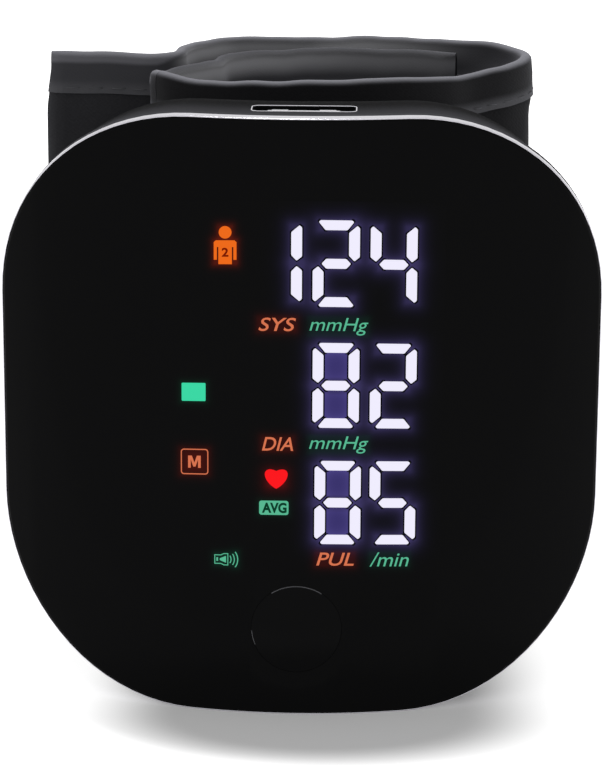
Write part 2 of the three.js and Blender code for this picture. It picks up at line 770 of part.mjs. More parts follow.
const frontPoints = [];
for (let degrees = foldAngle; degrees <= arcEndAngle; degrees += arcStep) {
  frontPoints.push(roundWrist(degrees, cuffRadius));
}
const tailPoints = tailRun.map(([x, y]) => new THREE.Vector3(x, wristY + y, 0));
tailPoints.push(new THREE.Vector3(-tailReach, wristY + tailEndOffset, 0));
const strapPoints = [...stationPoints(strapStations), ...tailPoints];

// The flap lies inside the strap at one lay's distance
const strapRoute = smoothCurve(strapPoints);
const flapPoints = [flapFreeStation, ...flapLaidStations].map((station) => {
  const t = station / (strapPoints.length - 1);
  const along = strapRoute.getTangent(t);
  return strapRoute.getPoint(t).add(new THREE.Vector3(-along.y, along.x, 0).multiplyScalar(flapLay));
});
flapPoints.push(...stationPoints(flapStations));

const bandPoints = [...flapPoints, ...frontPoints, ...strapPoints];
const bandRoute = smoothCurve(bandPoints);

function lengthAtPoint(number) {
  const lengths = bandRoute.getLengths();
  return lengths[(number * (lengths.length - 1)) / (bandPoints.length - 1)];
}

class Stretch extends THREE.Curve {
  constructor(from, to) {
    super();
    this.from = from / bandRoute.getLength();
    this.to = to / bandRoute.getLength();
  }
  getPoint(t, target = new THREE.Vector3()) {
    return bandRoute.getPointAt(this.from + (this.to - this.from) * t, target);
  }
}

const foldLength = lengthAtPoint(flapPoints.length);
const bendLength = lengthAtPoint(flapPoints.length + frontPoints.length + bendStation);
const tailLength = bandRoute.getLength();
const flapStretch = new Stretch(0, foldLength - splitGap / 2);
const frontStretch = new Stretch(foldLength + splitGap / 2, bendLength - splitGap / 2);
const strapStretch = new Stretch(bendLength + splitGap / 2, tailLength);

// Ply between two offsets across the band, the wrist's side positive, and between two heights
function ply(stretch, steps, [outer, inner], [low, high]) {
  const section = new THREE.Shape();
  section.moveTo(-high, outer);
  section.lineTo(-low, outer);
  section.lineTo(-low, inner);
  section.lineTo(-high, inner);
  return toSolid(new THREE.ExtrudeGeometry(section, { steps, extrudePath: stretch }));
}

// Bound edge with its rounded side at one height and its flat side at the other
function binding(stretch, steps, edge, flat) {
  const half = bandThickness / 2;
  const rounded = edge - Math.sign(edge - flat) * bindingRound;
  const corners = [[flat, -half], [rounded, -half], [edge, bindingRound - half],
    [edge, half - bindingRound], [rounded, half], [flat, half]];
  const section = new THREE.Shape(corners.map(([height, offset]) => new THREE.Vector2(-height, offset)));
  return toSolid(new THREE.ExtrudeGeometry(section, { steps, extrudePath: stretch }));
}

const outerFace = -bandThickness / 2;
const innerFace = bandThickness / 2;
const coverSpan = [outerFace, outerFace + coverThickness];
const stiffenerSpan = [coverSpan[1] + plyGap, coverSpan[1] + plyGap + stiffenerThickness];
const bladderSpan = [stiffenerSpan[1] + plyGap, stiffenerSpan[1] + plyGap + bladderThickness];
const liningSpan = [innerFace - liningThickness, innerFace];
const coreSpan = [coverSpan[1] + plyGap, liningSpan[0] - plyGap];
const bandHeights = [bindingWidth + plyGap, bandHeight - bindingWidth - plyGap];
const flapTop = bandHeight - flapTopDrop;
const flapHeights = [flapBottomRise + bindingWidth + plyGap, flapTop - bindingWidth - plyGap];
const bladderHeights = [bandHeights[0] + bladderInset, bandHeights[1] - bladderInset];

const nippleHole = rodY(0, teeHeightMiddle, nippleRadius + seatGap, [0, wristY]);
const nippleEnd = wristY - cuffRadius + bladderSpan[0] - seatGap;

// Plain pieces on the board and beside it
function mainBoard() {
  const half = boardWidth / 2;
  return box([-half, half], [boardFront, boardBack], [boardBottom, shellTopInside - seatGap]);
}
function mainChip() {
  const front = boardBack + plyGap;
  const heights = [teeHeightMiddle - chipSize, teeHeightMiddle];
  return box([chipX - chipSize / 2, chipX + chipSize / 2], [front, front + chipThickness], heights);
}
function batteryCell() {
  const half = batteryWidth / 2;
  const front = boardBack + seatGap;
  const heights = [batteryBottom, batteryBottom + batteryHeight];
  return box([-half, half], [front, front + batteryThickness], heights);
}
function speakerDrum() {
  const depths = [speakerBackDepth - speakerThickness, speakerBackDepth];
  return rodY(speakerX, speakerHeight, speakerRadius, depths, roundSides);
}
function cuffNipple() {
  return rodY(0, teeHeightMiddle, nippleRadius, [teeY + teeDepth / 2 + seatGap, nippleEnd])
    .subtract(rodY(0, teeHeightMiddle, nippleBore, [0, wristY], hoseSides));
}

// Hoses
function sensorSleeve() {
  return hose([[0, sensorBack + plyGap, teeHeightMiddle], [0, teeFront - plyGap, teeHeightMiddle]], 1);
}
function pumpHose() {
  const ends = [teeWidth / 2 + plyGap, pumpX - pumpRadius - seatGap];
  return hose(ends.map((x) => [x, teeY, teeHeightMiddle]), 1);
}
function valveHose() {
  return hose([
    [teeStubLeft, teeY, teeTop + plyGap],
    [teeStubLeft, teeY, teeTop + 2 * nippleLength],
    [teeStubLeft - hoseSway, teeY, valveNippleHeight - 2 * hoseLead],
    [valveNippleTip + hoseLead, valveY, valveNippleHeight],
    [valveNippleTip, valveY, valveNippleHeight],
    [valveX + valveWidth / 2 + seatGap, valveY, valveNippleHeight],
  ], hoseSteps);
}

// Both bound edges of a stretch between two heights
function addBindings(name, stretch, steps, [low, high]) {
  addPart(`${name}_binding_top`, binding(stretch, steps, high, high - bindingWidth), clothBlack);
  addPart(`${name}_binding_bottom`, binding(stretch, steps, low, low + bindingWidth), clothBlack);
}

addPart('front_lens', frontLens(), glossBlack);
addPart('trim_ring', trimRing(), trimSilver);
addPart('front_frame', frontFrame(), innerGrey);
addPart('rear_shell', rearShell(), shellBlack);
addPart('display_diffuser', displaySlice(filmFront, filmFront + filmThickness), guideWhite);
addPart('light_guide', lightGuide(), guideWhite);
addPart('main_board', mainBoard(), boardGreen);
addPart('main_chip', mainChip(), chipBlack);
addPart('usb_socket', usbSocket(), steel);
addPart('tact_switch', tactSwitch(), chipBlack);
addPart('switch_plunger', switchPlunger(), innerGrey);
addPart('start_button', startButton(), glossBlack);
addPart('pressure_sensor', pressureSensor(), chipBlack);
addPart('battery_cell', batteryCell(), cellSilver);
addPart('speaker', speakerDrum(), chipBlack);
addPart('pump_cap', pumpCap(), innerGrey);
addPart('pump_diaphragm', pumpDiaphragm(), rubber);
addPart('pump_head', pumpHead(), innerGrey);
addPart('pump_can', pumpCan(), steel);
addPart('pump_rotor', pumpRotor(), copper);
addPart('pump_crank', pumpCrank(), steel);
addPart('valve_yoke', valveYoke(), steel);
addPart('valve_coil', valveCoil(), copper);
addPart('valve_plunger', valvePlunger(), steel);
addPart('valve_spring', valveSpring(), steel);
addPart('air_tee', airTee(), innerGrey);
addPart('sensor_sleeve', sensorSleeve(), hoseClear);
addPart('pump_hose', pumpHose(), hoseClear);
addPart('valve_hose', valveHose(), hoseClear);
addPart('cuff_nipple', cuffNipple(), innerGrey);
caseScrewPlaces.forEach(([x, z], i) => addPart(`case_screw_${i + 1}`, caseScrew(x, z), steel));
addPart('cuff_plate', cuffPlate(), shellBlack);
plateScrewHeights.forEach((z, i) => addPart(`plate_screw_${i + 1}`, plateScrew(z), steel));

addPart('cuff_cover', ply(frontStretch, frontSteps, coverSpan, bandHeights).subtract(nippleHole), clothBlack);
addPart('cuff_stiffener',
  ply(frontStretch, frontSteps, stiffenerSpan, bandHeights).subtract(nippleHole), innerGrey);
addPart('cuff_bladder', ply(frontStretch, frontSteps, bladderSpan, bladderHeights), bladderGrey);
addPart('cuff_lining', ply(frontStretch, frontSteps, liningSpan, bandHeights), liningGrey);
addBindings('cuff', frontStretch, frontSteps, [0, bandHeight]);

addPart('flap_cover', ply(flapStretch, flapSteps, coverSpan, flapHeights), clothBlack);
addPart('flap_core', ply(flapStretch, flapSteps, coreSpan, flapHeights), bladderGrey);
addPart('flap_lining', ply(flapStretch, flapSteps, liningSpan, flapHeights), liningGrey);
addBindings('flap', flapStretch, flapSteps, [flapBottomRise, flapTop]);

const strapLength = tailLength - bendLength;
const patchStretch = new Stretch(bendLength + patchStart * strapLength, bendLength + patchEnd * strapLength);
addPart('strap_cover', ply(strapStretch, strapSteps, coverSpan, bandHeights), clothBlack);
addPart('strap_core', ply(strapStretch, strapSteps, coreSpan, bandHeights), bladderGrey);
addPart('strap_lining', ply(strapStretch, strapSteps, liningSpan, bandHeights), liningGrey);
addBindings('strap', strapStretch, strapSteps, [0, bandHeight]);
addPart('hook_patch', ply(patchStretch, patchSteps,
  [innerFace + plyGap, innerFace + plyGap + hookPatchThickness], flapHeights), clothBlack);

// Origin on the floor, under the middle of the whole part
const extent = new THREE.Box3().setFromObject(group);
group.position.set(-(extent.min.x + extent.max.x) / 2, -(extent.min.y + extent.max.y) / 2, -extent.min.z);

export default group;
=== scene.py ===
import json
import math

import bmesh
import bpy
import numpy as np
from mathutils import Matrix, Quaternion, Vector, noise


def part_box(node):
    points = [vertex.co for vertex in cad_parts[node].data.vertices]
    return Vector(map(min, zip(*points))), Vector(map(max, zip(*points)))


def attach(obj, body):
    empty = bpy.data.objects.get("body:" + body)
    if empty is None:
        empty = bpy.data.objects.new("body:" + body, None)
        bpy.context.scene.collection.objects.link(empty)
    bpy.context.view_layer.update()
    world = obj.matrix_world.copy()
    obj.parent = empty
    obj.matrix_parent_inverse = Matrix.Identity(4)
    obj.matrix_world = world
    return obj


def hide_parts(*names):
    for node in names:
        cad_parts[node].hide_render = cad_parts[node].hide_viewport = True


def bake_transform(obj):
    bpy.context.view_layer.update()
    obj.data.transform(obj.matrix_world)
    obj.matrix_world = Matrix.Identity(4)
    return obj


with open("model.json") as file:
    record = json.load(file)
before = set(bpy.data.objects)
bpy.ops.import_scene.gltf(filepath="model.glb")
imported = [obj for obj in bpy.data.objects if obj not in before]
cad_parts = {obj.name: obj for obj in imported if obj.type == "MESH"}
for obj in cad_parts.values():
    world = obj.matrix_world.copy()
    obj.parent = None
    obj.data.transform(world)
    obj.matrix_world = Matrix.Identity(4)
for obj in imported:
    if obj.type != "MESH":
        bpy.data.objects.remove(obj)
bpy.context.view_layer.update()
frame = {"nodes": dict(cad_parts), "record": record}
print("frame loaded:", len(frame["nodes"]), "nodes")

# Pieces are drawn in millimetres in the frame's own axes, and scaled to metres when they are made
mm = 0.001
scene = bpy.context.scene
upright = Matrix.Rotation(math.radians(90), 3, "X")
sameMm = 0.001  # nearer than this is the same place
closeMm = 0.02  # and this after a cut or a bend


def linear(hexColor):
    channels = [int(hexColor[i:i + 2], 16) / 255 for i in (1, 3, 5)]
    return [c / 12.92 if c <= 0.04045 else ((c + 0.055) / 1.055) ** 2.4 for c in channels] + [1.0]


def addNode(tree, kind, inputs=None, **settings):
    node = tree.nodes.new("ShaderNode" + kind)
    for name, value in settings.items():
        setattr(node, name, value)
    for socket, value in (inputs or {}).items():
        if isinstance(value, bpy.types.NodeSocket):
            tree.links.new(value, node.inputs[socket])
        else:
            node.inputs[socket].default_value = value
    return node


def perMetre(sizeMm):
    return 1 / (sizeMm * mm)


def shaderOf(material):
    return material.node_tree.nodes["Principled BSDF"]


def startMaterial(name, hexColor, roughness, extra=None):
    material = bpy.data.materials.new(name)
    material.use_nodes = True
    inputs = shaderOf(material).inputs
    inputs["Base Color"].default_value = linear(hexColor)
    inputs["Roughness"].default_value = roughness
    for socket, value in (extra or {}).items():
        inputs[socket].default_value = value
    return material


def meshObject(name, bm):
    mesh = bpy.data.meshes.new(name)
    bm.to_mesh(mesh)
    bm.free()
    piece = bpy.data.objects.new(name, mesh)
    scene.collection.objects.link(piece)
    return piece


def dropObject(item):
    mesh = item.data
    bpy.data.objects.remove(item)
    bpy.data.meshes.remove(mesh)


def modified(bm, kind, cutter=None, **settings):
    faceOut(bm)
    objects = [meshObject("shaping", bm)]
    modifier = objects[0].modifiers.new(kind, kind)
    if cutter:
        faceOut(cutter)
        objects.append(meshObject("cutter", cutter))
        modifier.object = objects[1]
        modifier.solver = "EXACT"
    for name, value in settings.items():
        setattr(modifier, name, value)
    result = bmesh.new()
    result.from_object(objects[0], bpy.context.evaluated_depsgraph_get())
    for item in objects:
        dropObject(item)
    return result


def faceOut(bm):
    bmesh.ops.recalc_face_normals(bm, faces=bm.faces[:])


def move(bm, vec):
    bmesh.ops.translate(bm, vec=vec, verts=bm.verts)


def widest(bm):
    return max(bm.faces, key=lambda item: len(item.verts))


def makePiece(name, bm, materials, sharpAngle=38, loose=False):
    if not loose:
        faceOut(bm)
    bm.normal_update()
    if not all(edge.is_manifold for edge in bm.edges):
        turned = [item for item in bm.faces if item.normal.y > 0]  # an open sheet looks to the front
    else:
        turned = bm.faces[:] if bm.calc_volume(signed=True) < 0 else []
    bmesh.ops.reverse_faces(bm, faces=turned)
    bmesh.ops.scale(bm, vec=(mm, mm, mm), verts=bm.verts)
    for item in bm.faces:
        item.smooth = True
    for edge in bm.edges:
        edge.smooth = edge.calc_face_angle(0) < math.radians(sharpAngle)
    piece = meshObject(name, bm)
    for material in materials:
        piece.data.materials.append(material)
    return piece


def extrude(bm, faces, vec):
    made = bmesh.ops.extrude_face_region(bm, geom=faces)["geom"]
    bmesh.ops.translate(bm, vec=vec, verts=[part for part in made if isinstance(part, bmesh.types.BMVert)])
    return [part for part in made if isinstance(part, bmesh.types.BMFace)]


def bevel(bm, geom, offset, segments, affect="EDGES", clamp=True):
    bmesh.ops.bevel(bm, geom=geom, offset=offset, offset_type="OFFSET", segments=segments, profile=0.5,
                    affect=affect, material=-1, clamp_overlap=clamp)


def edgesAt(bm, axis, place):
    return [edge for edge in bm.edges if all(abs(vert.co[axis] - place) < sameMm for vert in edge.verts)]


def sliceAcross(bm, axis, places):
    normal = Vector((0, 0, 0))
    normal[axis] = 1
    for place in places:
        bmesh.ops.bisect_plane(bm, geom=bm.verts[:] + bm.edges[:] + bm.faces[:], dist=1e-5,
                               plane_co=normal * place, plane_no=normal)


def roundedPatch(width, height, radius, segments):
    bm = bmesh.new()
    bmesh.ops.create_grid(bm, x_segments=1, y_segments=1, size=0.5)
    bmesh.ops.scale(bm, vec=(width, height, 1), verts=bm.verts)
    bevel(bm, bm.verts[:], radius, segments, "VERTICES", False)
    return bm


def uprightPatch(width, height, radius, segments, middle):
    bm = roundedPatch(width, height, radius, segments)
    bmesh.ops.rotate(bm, matrix=upright, verts=bm.verts)
    move(bm, middle)
    return bm


def uprightGrid(span, heights, cell):
    bm = bmesh.new()
    width, height = span[1] - span[0], heights[1] - heights[0]
    bmesh.ops.create_grid(bm, x_segments=round(width / cell), y_segments=round(height / cell), size=0.5)
    bmesh.ops.scale(bm, vec=(width, height, 1), verts=bm.verts)
    bmesh.ops.rotate(bm, matrix=upright, verts=bm.verts)
    move(bm, (sum(span) / 2, 0, sum(heights) / 2))
    return bm


def outlined(bm, width):
    bmesh.ops.inset_region(bm, faces=bm.faces[:], thickness=width, use_boundary=True, use_even_offset=True)
    bmesh.ops.delete(bm, geom=[widest(bm)], context="FACES")
    return bm


def rod(radius, middle, length, axis, segments):
    bm = bmesh.new()
    turn = Matrix.Rotation(math.radians(90), 4, "X") if axis == "Y" else Matrix.Identity(4)
    bmesh.ops.create_cone(bm, cap_ends=True, segments=segments, radius1=radius, radius2=radius, depth=length,
                          matrix=Matrix.Translation(middle) @ turn)
    return bm


def joined(parts):
    bm = bmesh.new()
    for part in parts:
        mesh = bpy.data.meshes.new("part")
        part.to_mesh(mesh)
        part.free()
        bm.from_mesh(mesh)
        bpy.data.meshes.remove(mesh)
    return bm


# Stage, with places and sizes in mm and angles in degrees
stage = dict(
    cameraPlace=(8.638, -357.396, 122.745),
    cameraForward=(-0.02423, 0.96790, -0.25018),
    cameraRoll=0.327,
    cameraLens=138.35,
    cameraSensor=36,
    floorSize=6000,
    floorColor="#e1e1e1",
    floorLift=0.19,
    glowLift=0.7,
    floorDrop=0.02,
    shadowMiddle=(2.7, -35.0),
    shadowReach=(27.0, 16.4),
    shadowBack=-0.25,
    shadowEdge=(0.6, 1.1),
    nearFade=(1.3, 2.0),
    nearLift=0.3,
    worldStrength=0.36,
    keyStrength=2.3,
    keyAngle=8,
    keyFrom=(-0.08, 0.27, 1.0),
)
scene.view_settings.view_transform = "Standard"
camera = bpy.data.objects.new("camera", bpy.data.cameras.new("camera"))
camera.data.lens = stage["cameraLens"]
camera.data.sensor_width = stage["cameraSensor"]
camera.data.clip_start = 0.01
camera.location = Vector(stage["cameraPlace"]) * mm
camera.rotation_mode = "QUATERNION"
camera.rotation_quaternion = (Vector(stage["cameraForward"]).to_track_quat("-Z", "Y")
                              @ Quaternion((0, 0, 1), math.radians(stage["cameraRoll"])))
scene.collection.objects.link(camera)
scene.camera = camera

key = bpy.data.objects.new("keyLight", bpy.data.lights.new("keyLight", "SUN"))
key.data.energy = stage["keyStrength"]
key.data.angle = math.radians(stage["keyAngle"])
key.rotation_mode = "QUATERNION"
key.rotation_quaternion = Vector(stage["keyFrom"]).to_track_quat("Z", "Y")
scene.collection.objects.link(key)

world = bpy.data.worlds.new("studio")
world.use_nodes = True
scene.world = world
worldTree = world.node_tree


def seenDirectly(tree):
    rays = addNode(tree, "LightPath")
    seen = rays.outputs["Is Camera Ray"]
    for kind in ("Is Glossy Ray", "Is Transmission Ray"):
        seen = addNode(tree, "Math", {0: seen, 1: rays.outputs[kind]}, operation="MAXIMUM").outputs[0]
    return seen


level = addNode(worldTree, "MapRange", {
    "Value": seenDirectly(worldTree), "To Min": stage["worldStrength"], "To Max": 1.0})
worldTree.links.new(level.outputs["Result"], worldTree.nodes["Background"].inputs["Strength"])
worldTree.nodes["Background"].inputs["Color"].default_value = (1, 1, 1, 1)

# White paper sweep, lit from below except where the shadow falls
paper = startMaterial("paper", stage["floorColor"], 0.9,
                      {"Specular IOR Level": 0.0, "Emission Color": (1, 1, 1, 1)})
paperTree = paper.node_tree
floorPlace = addNode(paperTree, "TexCoord").outputs["Object"]
spot = addNode(paperTree, "SeparateXYZ", {"Vector": floorPlace}).outputs
(middleX, middleY), (reachX, reachY) = stage["shadowMiddle"], stage["shadowReach"]
sideways = addNode(paperTree, "Math", {0: spot["X"], 1: perMetre(reachX), 2: -middleX / reachX},
                   operation="MULTIPLY_ADD").outputs[0]
forward = addNode(paperTree, "Math", {0: spot["Y"], 1: -perMetre(reachY), 2: middleY / reachY},
                  operation="MULTIPLY_ADD").outputs[0]
backward = addNode(paperTree, "Math", {0: forward, 1: stage["shadowBack"]},
                   operation="MULTIPLY").outputs[0]
ahead = addNode(paperTree, "Math", {0: forward, 1: backward}, operation="MAXIMUM").outputs[0]
fromMiddle = addNode(paperTree, "CombineXYZ", {"X": sideways, "Y": ahead}).outputs[0]
distance = addNode(paperTree, "VectorMath", {0: fromMiddle}, operation="LENGTH").outputs["Value"]
beside = addNode(paperTree, "MapRange", {
    "Value": distance, "From Min": stage["shadowEdge"][0], "From Max": stage["shadowEdge"][1]},
    interpolation_type="SMOOTHSTEP").outputs["Result"]
near = addNode(paperTree, "MapRange", {
    "Value": forward, "From Min": stage["nearFade"][0], "From Max": stage["nearFade"][1],
    "To Min": stage["glowLift"], "To Max": stage["nearLift"]},
    interpolation_type="SMOOTHSTEP").outputs["Result"]
lift = addNode(paperTree, "Math", {0: beside, 1: near, 2: stage["floorLift"]}, operation="MULTIPLY_ADD")
paperLift = addNode(paperTree, "Math", {0: seenDirectly(paperTree), 1: lift.outputs[0]},
                    operation="MULTIPLY")
paperTree.links.new(paperLift.outputs[0], shaderOf(paper).inputs["Emission Strength"])
bm = bmesh.new()
bmesh.ops.create_grid(bm, x_segments=1, y_segments=1, size=stage["floorSize"] / 2)
move(bm, (0, 0, -stage["floorDrop"]))
floor = makePiece("floor", bm, [paper])
print("stage set")

# Sizes of the face, and the axis of the wrist behind it
face = dict(curveRadius=51.0, cornerRadius=22.8, cornerSegments=20, stripWidth=1.25)
ringLow, ringHigh = [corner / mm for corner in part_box("trim_ring")]
faceWidth = ringHigh.x - ringLow.x
faceHeight = ringHigh.z - ringLow.z
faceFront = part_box("front_lens")[0].y / mm
faceMiddle = faceHeight / 2
wristY = face["curveRadius"] + faceFront


# Materials
def grainy(material, grainMm, roughSpread, depthMm, stretch=(1, 1, 1)):
    tree = material.node_tree
    inputs = shaderOf(material).inputs
    rough = inputs["Roughness"].default_value
    place = addNode(tree, "TexCoord").outputs["Object"]
    along = addNode(tree, "Mapping", {"Vector": place, "Scale": stretch}).outputs["Vector"]
    grain = addNode(tree, "TexNoise", {
        "Vector": along, "Scale": perMetre(grainMm), "Detail": 3.0}).outputs["Fac"]
    spread = addNode(tree, "MapRange", {  # most of the noise lies between 0.3 and 0.7
        "Value": grain, "From Min": 0.3, "From Max": 0.7,
        "To Min": rough - roughSpread, "To Max": rough + roughSpread})
    tree.links.new(spread.outputs["Result"], inputs["Roughness"])
    if depthMm:
        bump = addNode(tree, "Bump", {"Height": grain, "Strength": 1.0, "Distance": depthMm * mm})
        tree.links.new(bump.outputs["Normal"], inputs["Normal"])
    return material


def fadeColor(tree, value, span, low, high):
    amount = addNode(tree, "MapRange", {"Value": value, "From Min": span[0], "From Max": span[1]},
                     interpolation_type="SMOOTHSTEP").outputs["Result"]
    return addNode(tree, "Mix", {"Factor": amount, "A": low, "B": high},
                   data_type="RGBA").outputs["Result"]


weaveShare = 0.13  # of the relief, beside the fuzz


# Threads are drawn about twice as coarse as real ones, which would be too fine to show
def woven(material, threadMm, ribMm, depthMm, fuzzMm, darkHex, lightHex):
    tree = material.node_tree
    inputs = shaderOf(material).inputs
    place = addNode(tree, "TexCoord").outputs["UV"]
    parts = addNode(tree, "SeparateXYZ", {"Vector": place}).outputs
    turns = []
    for socket, size in (("X", threadMm), ("Y", ribMm)):
        angle = addNode(tree, "Math", {0: parts[socket], 1: 2 * math.pi * perMetre(size)},
                        operation="MULTIPLY").outputs[0]
        turns.append(addNode(tree, "Math", {0: angle}, operation="SINE").outputs[0])
    weave = addNode(tree, "Math", {0: turns[0], 1: turns[1]}, operation="MULTIPLY").outputs[0]
    fuzz = addNode(tree, "TexNoise", {
        "Vector": place, "Scale": perMetre(fuzzMm), "Detail": 4.0}).outputs["Fac"]
    height = addNode(tree, "Math", {0: weave, 1: weaveShare, 2: fuzz},
                     operation="MULTIPLY_ADD").outputs[0]
    bump = addNode(tree, "Bump", {"Height": height, "Strength": 1.0, "Distance": depthMm * mm})
    tree.links.new(bump.outputs["Normal"], inputs["Normal"])
    tint = addNode(tree, "Mix", {"Factor": height, "A": linear(darkHex), "B": linear(lightHex)},
                   data_type="RGBA")
    tree.links.new(tint.outputs["Result"], inputs["Base Color"])
    return material


def sheen(weight, roughness, hexColor, specular):
    return {"Sheen Weight": weight, "Sheen Roughness": roughness, "Sheen Tint": linear(hexColor),
            "Specular IOR Level": specular}


# Polished tinted acrylic, nearly opaque, with the display's light scattered in it and a faint even painted
# glow that lifts its black
tintedAcrylic = startMaterial("tintedAcrylic", "#0c0c0d", 0.12,
                              {"IOR": 1.49, "Specular IOR Level": 0.008, "Emission Strength": 1.0})
glow = addNode(tintedAcrylic.node_tree, "Attribute", attribute_name="glow").outputs["Color"]
tintedAcrylic.node_tree.links.new(glow, shaderOf(tintedAcrylic).inputs["Emission Color"])
# The same acrylic moulded as the button, with a faint even painted glow that lifts its black
buttonAcrylic = startMaterial("buttonAcrylic", "#0c0c0d", 0.14, {
    "IOR": 1.49, "Specular IOR Level": 0.014, "Emission Strength": 1.0, "Emission Color": linear("#070707")})
grainy(buttonAcrylic, grainMm=1.2, roughSpread=0.03, depthMm=0)
# Its edge, painted pale as a highlight on the top arc and on a short arc at the left
buttonEdgeHighlight = startMaterial("buttonEdgeHighlight", "#6c6c70", 0.3, {"IOR": 1.49, "Specular IOR Level": 0.08})
# Vacuum-plated ABS, satin, so that it reflects the room softly
metal = {"Metallic": 1.0}
platedTrim = startMaterial("platedTrim", "#c2c0c6", 0.24, metal)
grainy(platedTrim, grainMm=0.5, roughSpread=0.05, depthMm=0.002)
# Spark-eroded black ABS moulding, matt, paler beside the face and darker towards the cuff, a painted shade;
# its grain is drawn coarser to show
mouldedShell = startMaterial("mouldedShell", "#161618", 0.7, {"IOR": 1.53, "Specular IOR Level": 0.006})
grainy(mouldedShell, grainMm=0.35, roughSpread=0.08, depthMm=0.012)
shadeTowardsCuff = dict(span=(38.5 * mm, 47.0 * mm), dark="#0d0d0e", pale="#3c3c3f")
shellTree = mouldedShell.node_tree
shellPlace = addNode(shellTree, "TexCoord").outputs["Object"]
fromWrist = addNode(shellTree, "VectorMath", {0: shellPlace, 1: (1, 1, 0), 2: (0, -wristY * mm, 0)},
                    operation="MULTIPLY_ADD").outputs["Vector"]
outwards = addNode(shellTree, "VectorMath", {0: fromWrist}, operation="LENGTH").outputs["Value"]
# Painted shade: the colour darkens nearer the wrist axis, where the cuff stands behind the top
shellShade = fadeColor(shellTree, outwards, shadeTowardsCuff["span"], linear(shadeTowardsCuff["dark"]), linear(shadeTowardsCuff["pale"]))
shellTree.links.new(shellShade, shaderOf(mouldedShell).inputs["Base Color"])
# Loop knit that the hooks hold on to, dull black with a faint nap
loopSheen = sheen(weight=0.25, roughness=0.45, hexColor="#77777e", specular=0.1)
loopKnit = startMaterial("loopKnit", "#171719", 0.9, loopSheen)
woven(loopKnit, threadMm=0.6, ribMm=0.5, depthMm=0.05, fuzzMm=0.4, darkHex="#181819", lightHex="#212123")
# A paler copy of the loop knit for the face of the tail, painted light
litLoopKnit = startMaterial("litLoopKnit", "#303033", 0.9, loopSheen)
woven(litLoopKnit, threadMm=0.6, ribMm=0.5, depthMm=0.05, fuzzMm=0.4, darkHex="#2f2f32", lightHex="#3c3c3f")
# Brushed tricot against the skin, smooth and grey, paler at a glancing angle
tricotSheen = sheen(weight=0.4, roughness=0.4, hexColor="#9a9aa2", specular=0.15)
tricotLining = startMaterial("tricotLining", "#606064", 0.8, tricotSheen)
woven(tricotLining, threadMm=0.4, ribMm=0.4, depthMm=0.03, fuzzMm=0.35, darkHex="#56565a", lightHex="#6a6a6e")
# Spun polyester sewing thread, dull, as pale as the painted highlight along the hem it lies in
tapeSheen = sheen(weight=0.35, roughness=0.35, hexColor="#a0a0a8", specular=0.1)
sewingThread = startMaterial("sewingThread", "#66666a", 0.8, tapeSheen)
grainy(sewingThread, grainMm=0.1, roughSpread=0.1, depthMm=0.02)
# Woven elastic binding tape: dark outside, faced with the lining inside, where painted light makes it pale
# near the fold and darker further down; painted highlights run along its fold and its hem
wovenTape = startMaterial("wovenTape", "#1f1f21", 0.75, tapeSheen)
woven(wovenTape, threadMm=0.6, ribMm=0.4, depthMm=0.03, fuzzMm=0.4, darkHex="#151517", lightHex="#222224")
tapeTint = dict(facing=(1.6 * mm, 3.9 * mm), facingHighlight="#c4c4c8", facingShade="#4c4c50", unfaced="#4a4a4e",
                turnedIn=(0.2 * mm, 1.5 * mm), hem=(3.5 * mm, 4.9 * mm), hemPale="#5e5e62", hemDark="#4a4a4e",
                highlightFade=(0.95 * mm, 0.3 * mm), foldHighlight="#7c7c82", widerHighlight=0.9 * mm)
tapeTree = wovenTape.node_tree
tapeColor = shaderOf(wovenTape).inputs["Base Color"]
tapePlace = addNode(tapeTree, "TexCoord").outputs["UV"]
acrossTape = addNode(tapeTree, "SeparateXYZ", {"Vector": tapePlace}).outputs["Y"]
fromFold = addNode(tapeTree, "Math", {0: acrossTape}, operation="ABSOLUTE").outputs[0]
tone = addNode(tapeTree, "Attribute", attribute_name="tone").outputs["Vector"]
facingShare, foldHighlight, wideHighlight = addNode(tapeTree, "SeparateXYZ", {"Vector": tone}).outputs
# Painted highlight and shade on the facing: pale near the fold, darker further from it
facing = fadeColor(tapeTree, acrossTape, tapeTint["facing"], linear(tapeTint["facingHighlight"]),
                   linear(tapeTint["facingShade"]))
# The facing share says how much of the facing shows; its part values paint shade on it
inside = fadeColor(tapeTree, facingShare, (0, 1), linear(tapeTint["unfaced"]), facing)
tint = fadeColor(tapeTree, acrossTape, tapeTint["turnedIn"], tapeColor.links[0].from_socket, inside)
# Painted highlight along the hem
hemHighlight = fadeColor(tapeTree, facingShare, (0, 1), linear(tapeTint["hemPale"]), linear(tapeTint["hemDark"]))
tint = fadeColor(tapeTree, fromFold, tapeTint["hem"], tint, hemHighlight)
# Painted highlight along the fold, wider where the wide tone is set
highlitTint = fadeColor(tapeTree, foldHighlight, (0, 1), tint, linear(tapeTint["foldHighlight"]))
fromHighlight = addNode(tapeTree, "Math", {0: wideHighlight, 1: -tapeTint["widerHighlight"], 2: fromFold},
                  operation="MULTIPLY_ADD").outputs[0]
tapeTree.links.new(fadeColor(tapeTree, fromHighlight, tapeTint["highlightFade"], tint, highlitTint), tapeColor)
# Nylon hook tape, a dark bristle that catches the light, with hooks at their real pitch
hookTape = startMaterial("hookTape", "#1c1c1e", 0.6)
woven(hookTape, threadMm=1.1, ribMm=1.1, depthMm=0.4, fuzzMm=0.25, darkHex="#0e0e0f", lightHex="#303033")


def lightMaterial(name, hexColor):
    return startMaterial(name, "#000000", 0.4, {
        "Specular IOR Level": 0.0, "Emission Strength": 1.0, "Emission Color": linear(hexColor)})


